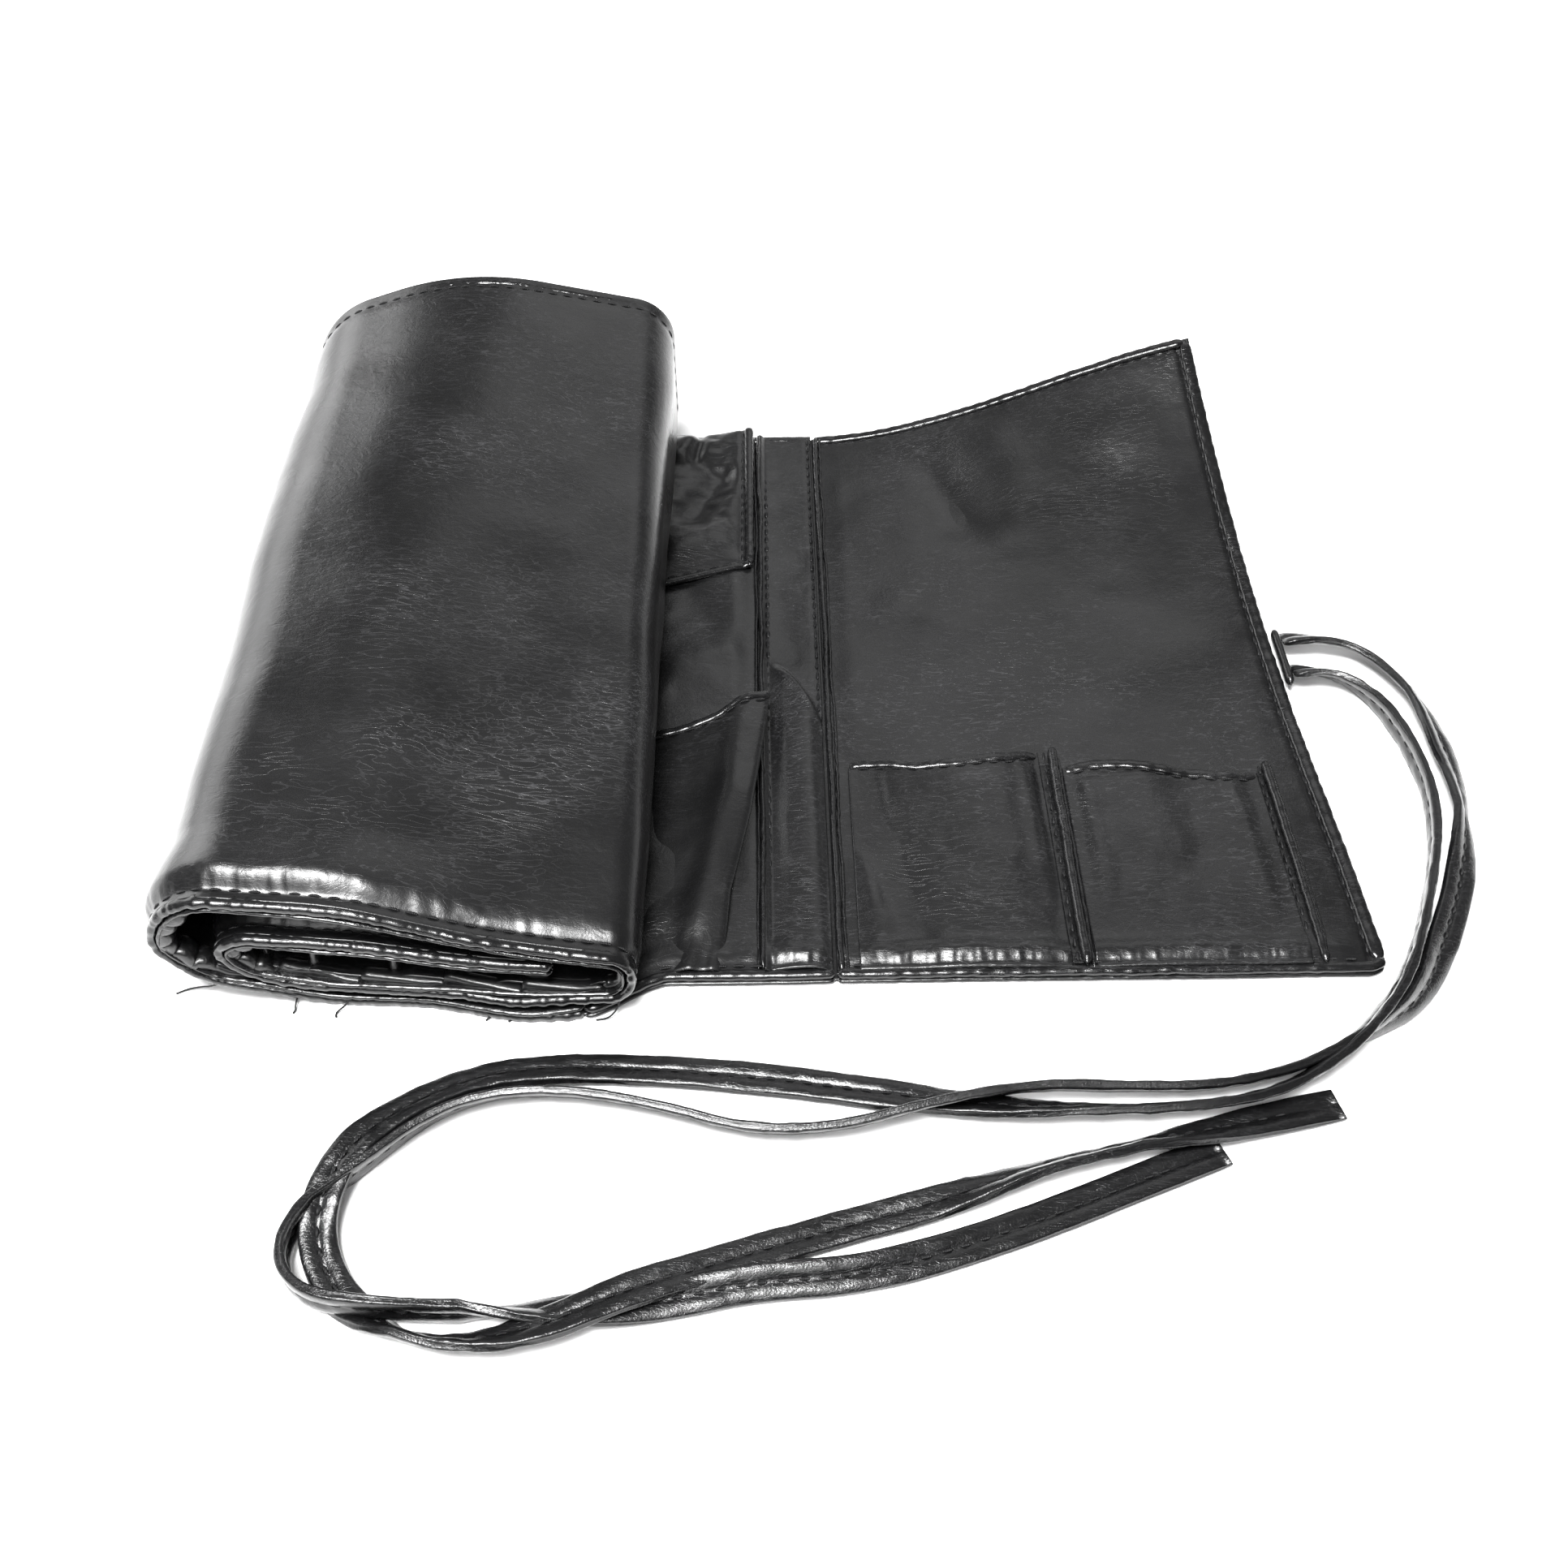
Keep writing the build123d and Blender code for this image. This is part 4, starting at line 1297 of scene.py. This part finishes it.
def rounded_line(corners):
    """A line of corners with arcs in them; the same number of points whatever the sizes."""
    points = [np.array(corner[:2], float) for corner in corners]
    line, last_end = [], points[0]
    for index in range(1, len(points) - 1):
        before = unit(points[index - 1] - points[index])
        after = unit(points[index + 1] - points[index])
        angle = math.acos(np.clip(before @ after, -1, 1))
        radius = corners[index][2]
        cut = radius / math.tan(angle / 2)
        arc_start, arc_end = points[index] + before * cut, points[index] + after * cut
        centre = points[index] + unit(before + after) * (radius / math.sin(angle / 2))
        share = np.linspace(0, 1, RUN_POINTS[index - 1], endpoint=False)[:, None]
        line.append(last_end + (arc_start - last_end) * share)
        first, last = arc_start - centre, arc_end - centre
        sweep = math.atan2(first[0] * last[1] - first[1] * last[0], first @ last)
        turns = np.linspace(0, sweep, ARC_POINTS[index - 1], endpoint=False)
        cos, sin = np.cos(turns), np.sin(turns)
        arc = np.stack([first[0] * cos - first[1] * sin, first[0] * sin + first[1] * cos], axis=1)
        line.append(centre + arc)
        last_end = arc_end
    share = np.linspace(0, 1, RUN_POINTS[-1])[:, None]
    line.append(last_end + (points[-1] - last_end) * share)
    return np.concatenate(line)


def roll_line(y):
    """The outer face of the rolled cover at one station, as points (x, z)."""
    share = (y - ROLL_FRONT) / CASE_DEPTH
    corners = [
        tuple(front + share * (back - front) for front, back in zip(start, end))
        for start, end in zip(ROLL_FRONT_LINE, ROLL_BACK_LINE)
    ]
    return settled(rounded_line(corners), share)


def settled(line, share):
    """The rolled sheet's own sag: its left end lifts off the table and its front is crowned."""
    x, z = line[:, 0], line[:, 1]
    lift = 6.5 * smooth(-x, 94, 134) * (1 - smooth(z, 4, 26))
    crown = -0.9 * np.exp(-(((x + 106) / 20) ** 2)) * smooth(z, 8, 30)
    shoulder = -2.6 * np.exp(-(((x + 64) / 24) ** 2)) * smooth(z, 9, 24)
    return np.stack([x, z + (1 - share) * (lift + crown + shoulder)], axis=1)


def inward(line):
    """Unit vectors (x, z) to the inner side of the roll at each point of its line."""
    along = tangents(line)
    return np.stack([along[:, 1], -along[:, 0]], axis=1)


def on_station(line, y):
    """Points (x, y, z) of a line (x, z) at one station of the slanted roll."""
    share = (y - ROLL_FRONT) / CASE_DEPTH
    return line_of(line[:, 0], y + slant(line[:, 0], line[:, 1], share), line[:, 1])


def roll_grid(ys, inset):
    """Points on a rolled layer, a fixed inset inside the cover's face; rows along the roll's line."""
    stations = []
    for y in ys:
        line = roll_line(y)
        depth = inset(line) if callable(inset) else inset
        moved = line + inward(line) * (depth[:, None] if np.ndim(depth) else depth)
        stations.append(on_station(moved, y))
    return np.stack(stations, axis=1)


def roll_relief(grid, across):
    """Soft waves of the rolled cover, larger in its free middle than at its sewn ends."""
    x, y, z = grid[..., 0], grid[..., 1], grid[..., 2]
    high = smooth(z, 2.0, 14.0)
    near = across - ROLL_FRONT
    free = smooth(near, 4, 40) * smooth(ROLL_BACK - across, 4, 30)
    wide = 0.8 * waves(x + z, y, 70, 2, 2.0) + 0.35 * waves(x - z, y, 28, 2, 5.0)
    rise = 0.6 + 1.3 * smooth(-x, 60, 105)
    full = 9.4 + 1.4 * noise((x + z) / 7.0, y / 40.0, 3.0)
    uneven = 1 + 0.2 * noise((x + z) / 16.0, y / 16.0, 1.0)
    swell = rise * uneven * smooth(near, 3.0, full) * (1 - smooth(near, 9.0, 24.0))
    pucker = 0.05 * noise((x + z) / 3.1, y / 6.0, 6.0) + 0.15 * noise((x + z) / 1.6, y / 4.0, 8.0)
    pucker = pucker * np.exp(-(((near - 6.4) / 2.8) ** 2)) * (0.4 + 0.6 * smooth(-x, 40, 90))
    sewn = groove(near - 4.1, 0.5, 1.5) + groove(ROLL_BACK - 5.0 - across, 0.4, 1.3)
    return high * (wide * free + swell + pucker + sewn)


def roll_sheet(name, ys, inset, thickness, material, node, relief=False):
    """One layer of the rolled sheet; depth, its flat depth in metres, is not used."""
    face = roll_grid(ys, inset)
    normal = -normals_of(face)
    outward = np.stack([-inward(roll_line(y)) for y in ys], axis=1)
    normal = normal * np.sign(np.sum(normal[..., [0, 2]] * outward, axis=2, keepdims=True))
    across = np.broadcast_to(np.asarray(ys)[None, :], face.shape[:2])
    if relief:
        face = face + normal * roll_relief(face, across)[..., None]
    rim = edge_distance(across, ys[0], ys[-1])
    piece = rounded_sheet(name, face, rim, thickness, material, least=0.05, normal=normal)
    dress(piece, "roll", node)


fine_from, fine_to = ROLL_FRONT + 1.6, ROLL_FRONT + 22
roll_ys = np.concatenate([spans(fine_from, fine_to, 0.7)[:-4], spans(fine_to, ROLL_BACK - 0.6, 1.8)[3:]])
ROLL_LENGTH = 0.001 * float(np.mean([lengths_along(roll_line(y))[-1] for y in (ROLL_FRONT, ROLL_BACK)]))
roll_sheet(
    "roll_cover_sheet", roll_ys, 0.05, COVER_T, COVER, "roll_cover", relief=True
)


# The front rim of the roll is a rolled lip with the lining's thin edge inside it.
def roll_rim(name, y, inset, half_in, half_y, seed, pucker, node=None):
    """A rim along the whole rolled line at one station, with its seam's beat and fine puckers."""
    line = roll_line(y)
    inner = inward(line)
    along = lengths_along(line)
    wobble = 0.15 * noise(along / 9.0, seed, 2.0)
    centre = line + inner * (inset + wobble)[:, None]
    points = on_station(centre, y)
    points[:, 1] += 0.25 * noise(along / 12.0, seed, 4.0)
    points = resample(points, 0.4)
    out = all_along(FORWARD, points)
    up = unit(np.cross(out, tangents(points)))
    run = lengths_along(points)
    beat = np.cos(2 * math.pi * run / STITCH_PITCH + noise(run / 17, seed, 7.0))
    swell = 1 + pucker * 0.6 * beat + pucker * (noise(run / 1.8, seed, 5.0) + noise(run / 0.9, seed, 8.0))
    swell = swell * round_ends(len(points), 3)
    dress(tube(name, points, up, out, half_in * swell, half_y * swell, BINDING), "roll", node)


roll_rim("roll_front_rim_lip", ROLL_FRONT + 1.7, 1.3, 1.15, 1.7, 3.0, 0.06, "roll_front_rim")
roll_rim("roll_front_rim_edge", ROLL_FRONT + 1.3, 2.95, 0.5, 1.2, 5.0, 0.05)
roll_rim("roll_back_hem_band", ROLL_BACK - 1.9, 1.2, 1.1, 1.8, 7.0, 0.05, "roll_back_hem")

for sew_name, sew_y in (("roll_front_stitches", ROLL_FRONT + 4.1), ("roll_back_stitches", ROLL_BACK - 4.6)):
    face = roll_grid([sew_y], 0.0)
    outward = -inward(roll_line(sew_y))
    lift = line_of(outward[:, 0], 0.0, outward[:, 1])
    add_stitches(sew_name, face[:, 0] + lift * -0.35, lift, "roll")


def pleat_ends(name, y, seed, first, last, end_x):
    """The pockets' pleats end in small tabs inside the rim, bunched where each turn doubles back."""
    line = roll_line(y)[first:last]
    along = lengths_along(line)
    run = np.arange(0, along[-1], RIM_STEP)
    centre = np.stack([np.interp(run, along, line[:, axis]) for axis in (0, 1)], axis=1)
    inner = inward(centre)
    phase = run / 18.0 + 0.4 * noise(run / 40.0, seed, 1.0)
    step = phase - np.floor(phase)
    tabs = (0.7 + 1.7 * step) * (1 - smooth(step, 0.94, 1.0)) + 0.3
    bunched = 0.8 + 2.4 * np.abs(np.sin(math.pi * run / 5.6)) ** 0.6
    at_end = smooth(-centre[:, 0], end_x, end_x + 5)
    hidden = (1 - smooth(centre[:, 1], 2.5, 6.0)) * (first == 0)
    depth = (tabs + (bunched - tabs) * at_end) * (1 - hidden) + 0.2
    points = on_station(centre + inner * (2.5 + depth / 2)[:, None], y)
    points[:, 1] += 0.5 * noise(run / 7.0, seed, 4.0) + 0.5 * step
    out = all_along(FORWARD, points)
    up = unit(np.cross(out, tangents(points)))
    band = tube(name, points, up, out, depth / 2 + 0.15, 1.6 + 1.2 * at_end, PANEL, power=3.2)
    dress(band, "roll")


INNER_FROM = sum(RUN_POINTS[:5]) + sum(ARC_POINTS[:5])
pleat_ends("roll_outer_pleat_ends", ROLL_FRONT + 2.9, 2.0, RUN_POINTS[0] // 2, INNER_FROM, 125.0)
pleat_ends("roll_inner_pleat_ends", ROLL_FRONT + 2.9, 6.0, INNER_FROM, None, 111.0)


def slot_fold(index, x, low, high, depth, width):
    """A soft fold between two pencil slots, standing across the hollow of the roll."""
    height = np.linspace(0, 1, 14)
    lean = 1.2 * noise(index * 1.7, 3.3, 0.5)
    line = line_of(x + lean * height, ROLL_FRONT + depth + 0.8 * height, low + (high - low) * height)
    flare = width * (0.62 + 0.75 * (2 * height - 1) ** 2)
    sides = all_along(RIGHT, line), all_along(BACK, line)
    dress(tube(f"roll_slot_fold_{index}", line, *sides, flare, 3.5, PANEL, points=18), "roll")


for index, (x, low, high, depth, width) in enumerate(
    (
        (-113.0, 9.0, 18.5, 9.0, 1.6),
        (-103.0, 8.0, 18.5, 8.0, 1.9),
        (-85.5, 7.8, 17.5, 7.0, 1.8),
        (-70.5, 7.8, 15.0, 6.5, 1.9),
        (-58.5, 7.8, 13.5, 7.0, 1.6),
        (-51.5, 7.8, 12.8, 9.0, 1.5),
    ),
    start=1,
):
    slot_fold(index, x, low, high, depth, width)


def thread_tail(name, points):
    """A loose end of sewing thread."""
    line = smooth_line([(*(np.array(point) * MM), 0) for point in points])
    _, side, up = level_frame(line)
    tail = tube(name, line, side, up, THREAD_RADIUS, THREAD_RADIUS, THREAD, points=8, power=2.0)
    dress(tail, "roll")


THREAD_TAILS = [
    [(-124, -103, 5), (-127, -102.6, 2.8), (-130, -101.4, 1.2), (-133.5, -101.6, 0.6), (-135.6, -102.6, 0.3)],
    [(-108, -105, 1.4), (-108.3, -106.6, 1), (-108, -107.6, 0.5), (-108.6, -108.4, 0.3)],
    [(-95.5, -105, 2.2), (-96.8, -107, 1.4), (-98.2, -107.8, 0.8), (-99.2, -108.8, 0.4)]
    + [(-98.8, -109.6, 0.3)],
    [(-62.6, -108.4, 2), (-63.8, -109.8, 1), (-65, -110.2, 0.5), (-65.8, -111, 0.3)],
    [(-57.4, -109.6, 1.8), (-58.6, -110.6, 0.9), (-59.8, -110.6, 0.4), (-60.8, -111.4, 0.3)],
    [(-36, -107.8, 6), (-36.4, -109.4, 3.2), (-37.4, -110, 1.4), (-39.2, -111.2, 0.5), (-41.6, -111.2, 0.3)],
]
for index, points in enumerate(THREAD_TAILS, start=1):
    thread_tail(f"thread_tail_{index}", points)

# ---------------------------------------------------------------- inner layers
LAYER_T = 0.6
layer_ys = spans(ROLL_FRONT + 3.0, ROLL_BACK - 2.4, 5.0)
roll_sheet(
    "roll_lining_sheet", layer_ys, 1.35, LAYER_T, LINING, "roll_lining"
)


def pleat_inset(base, depth, pitch, seed):
    """Inset of a pleated panel: it steps in towards each pleat and drops back after it."""

    def inset(line):
        run = lengths_along(line)
        phase = run / pitch + 0.35 * noise(run / 60.0, seed, 1.0)
        step = phase - np.floor(phase)
        return base + depth * (1 - smooth(step, 0.78, 1.0)) * step

    return inset


TALL_PLEATS, FRONT_PLEATS = pleat_inset(2.3, 1.0, 17.0, 2.0), pleat_inset(3.3, 1.6, 21.0, 5.0)
for kind, front, back, inset, depth, rests_on in (
    ("tall_pocket", ROLL_FRONT + 2.6, 42.0, TALL_PLEATS, 0.147, "roll_lining_sheet"),
    ("front_pocket", ROLL_FRONT + 2.2, -22.0, FRONT_PLEATS, 0.083, "roll_tall_pocket_panel"),
    ("dust_flap", 42.0, ROLL_BACK - 2.6, 3.2, 0.058, "roll_lining_sheet"),
):
    ys = spans(front, back, 3.0)
    roll_sheet(f"roll_{kind}_panel", ys, inset, LAYER_T, PANEL, f"roll_{kind}")
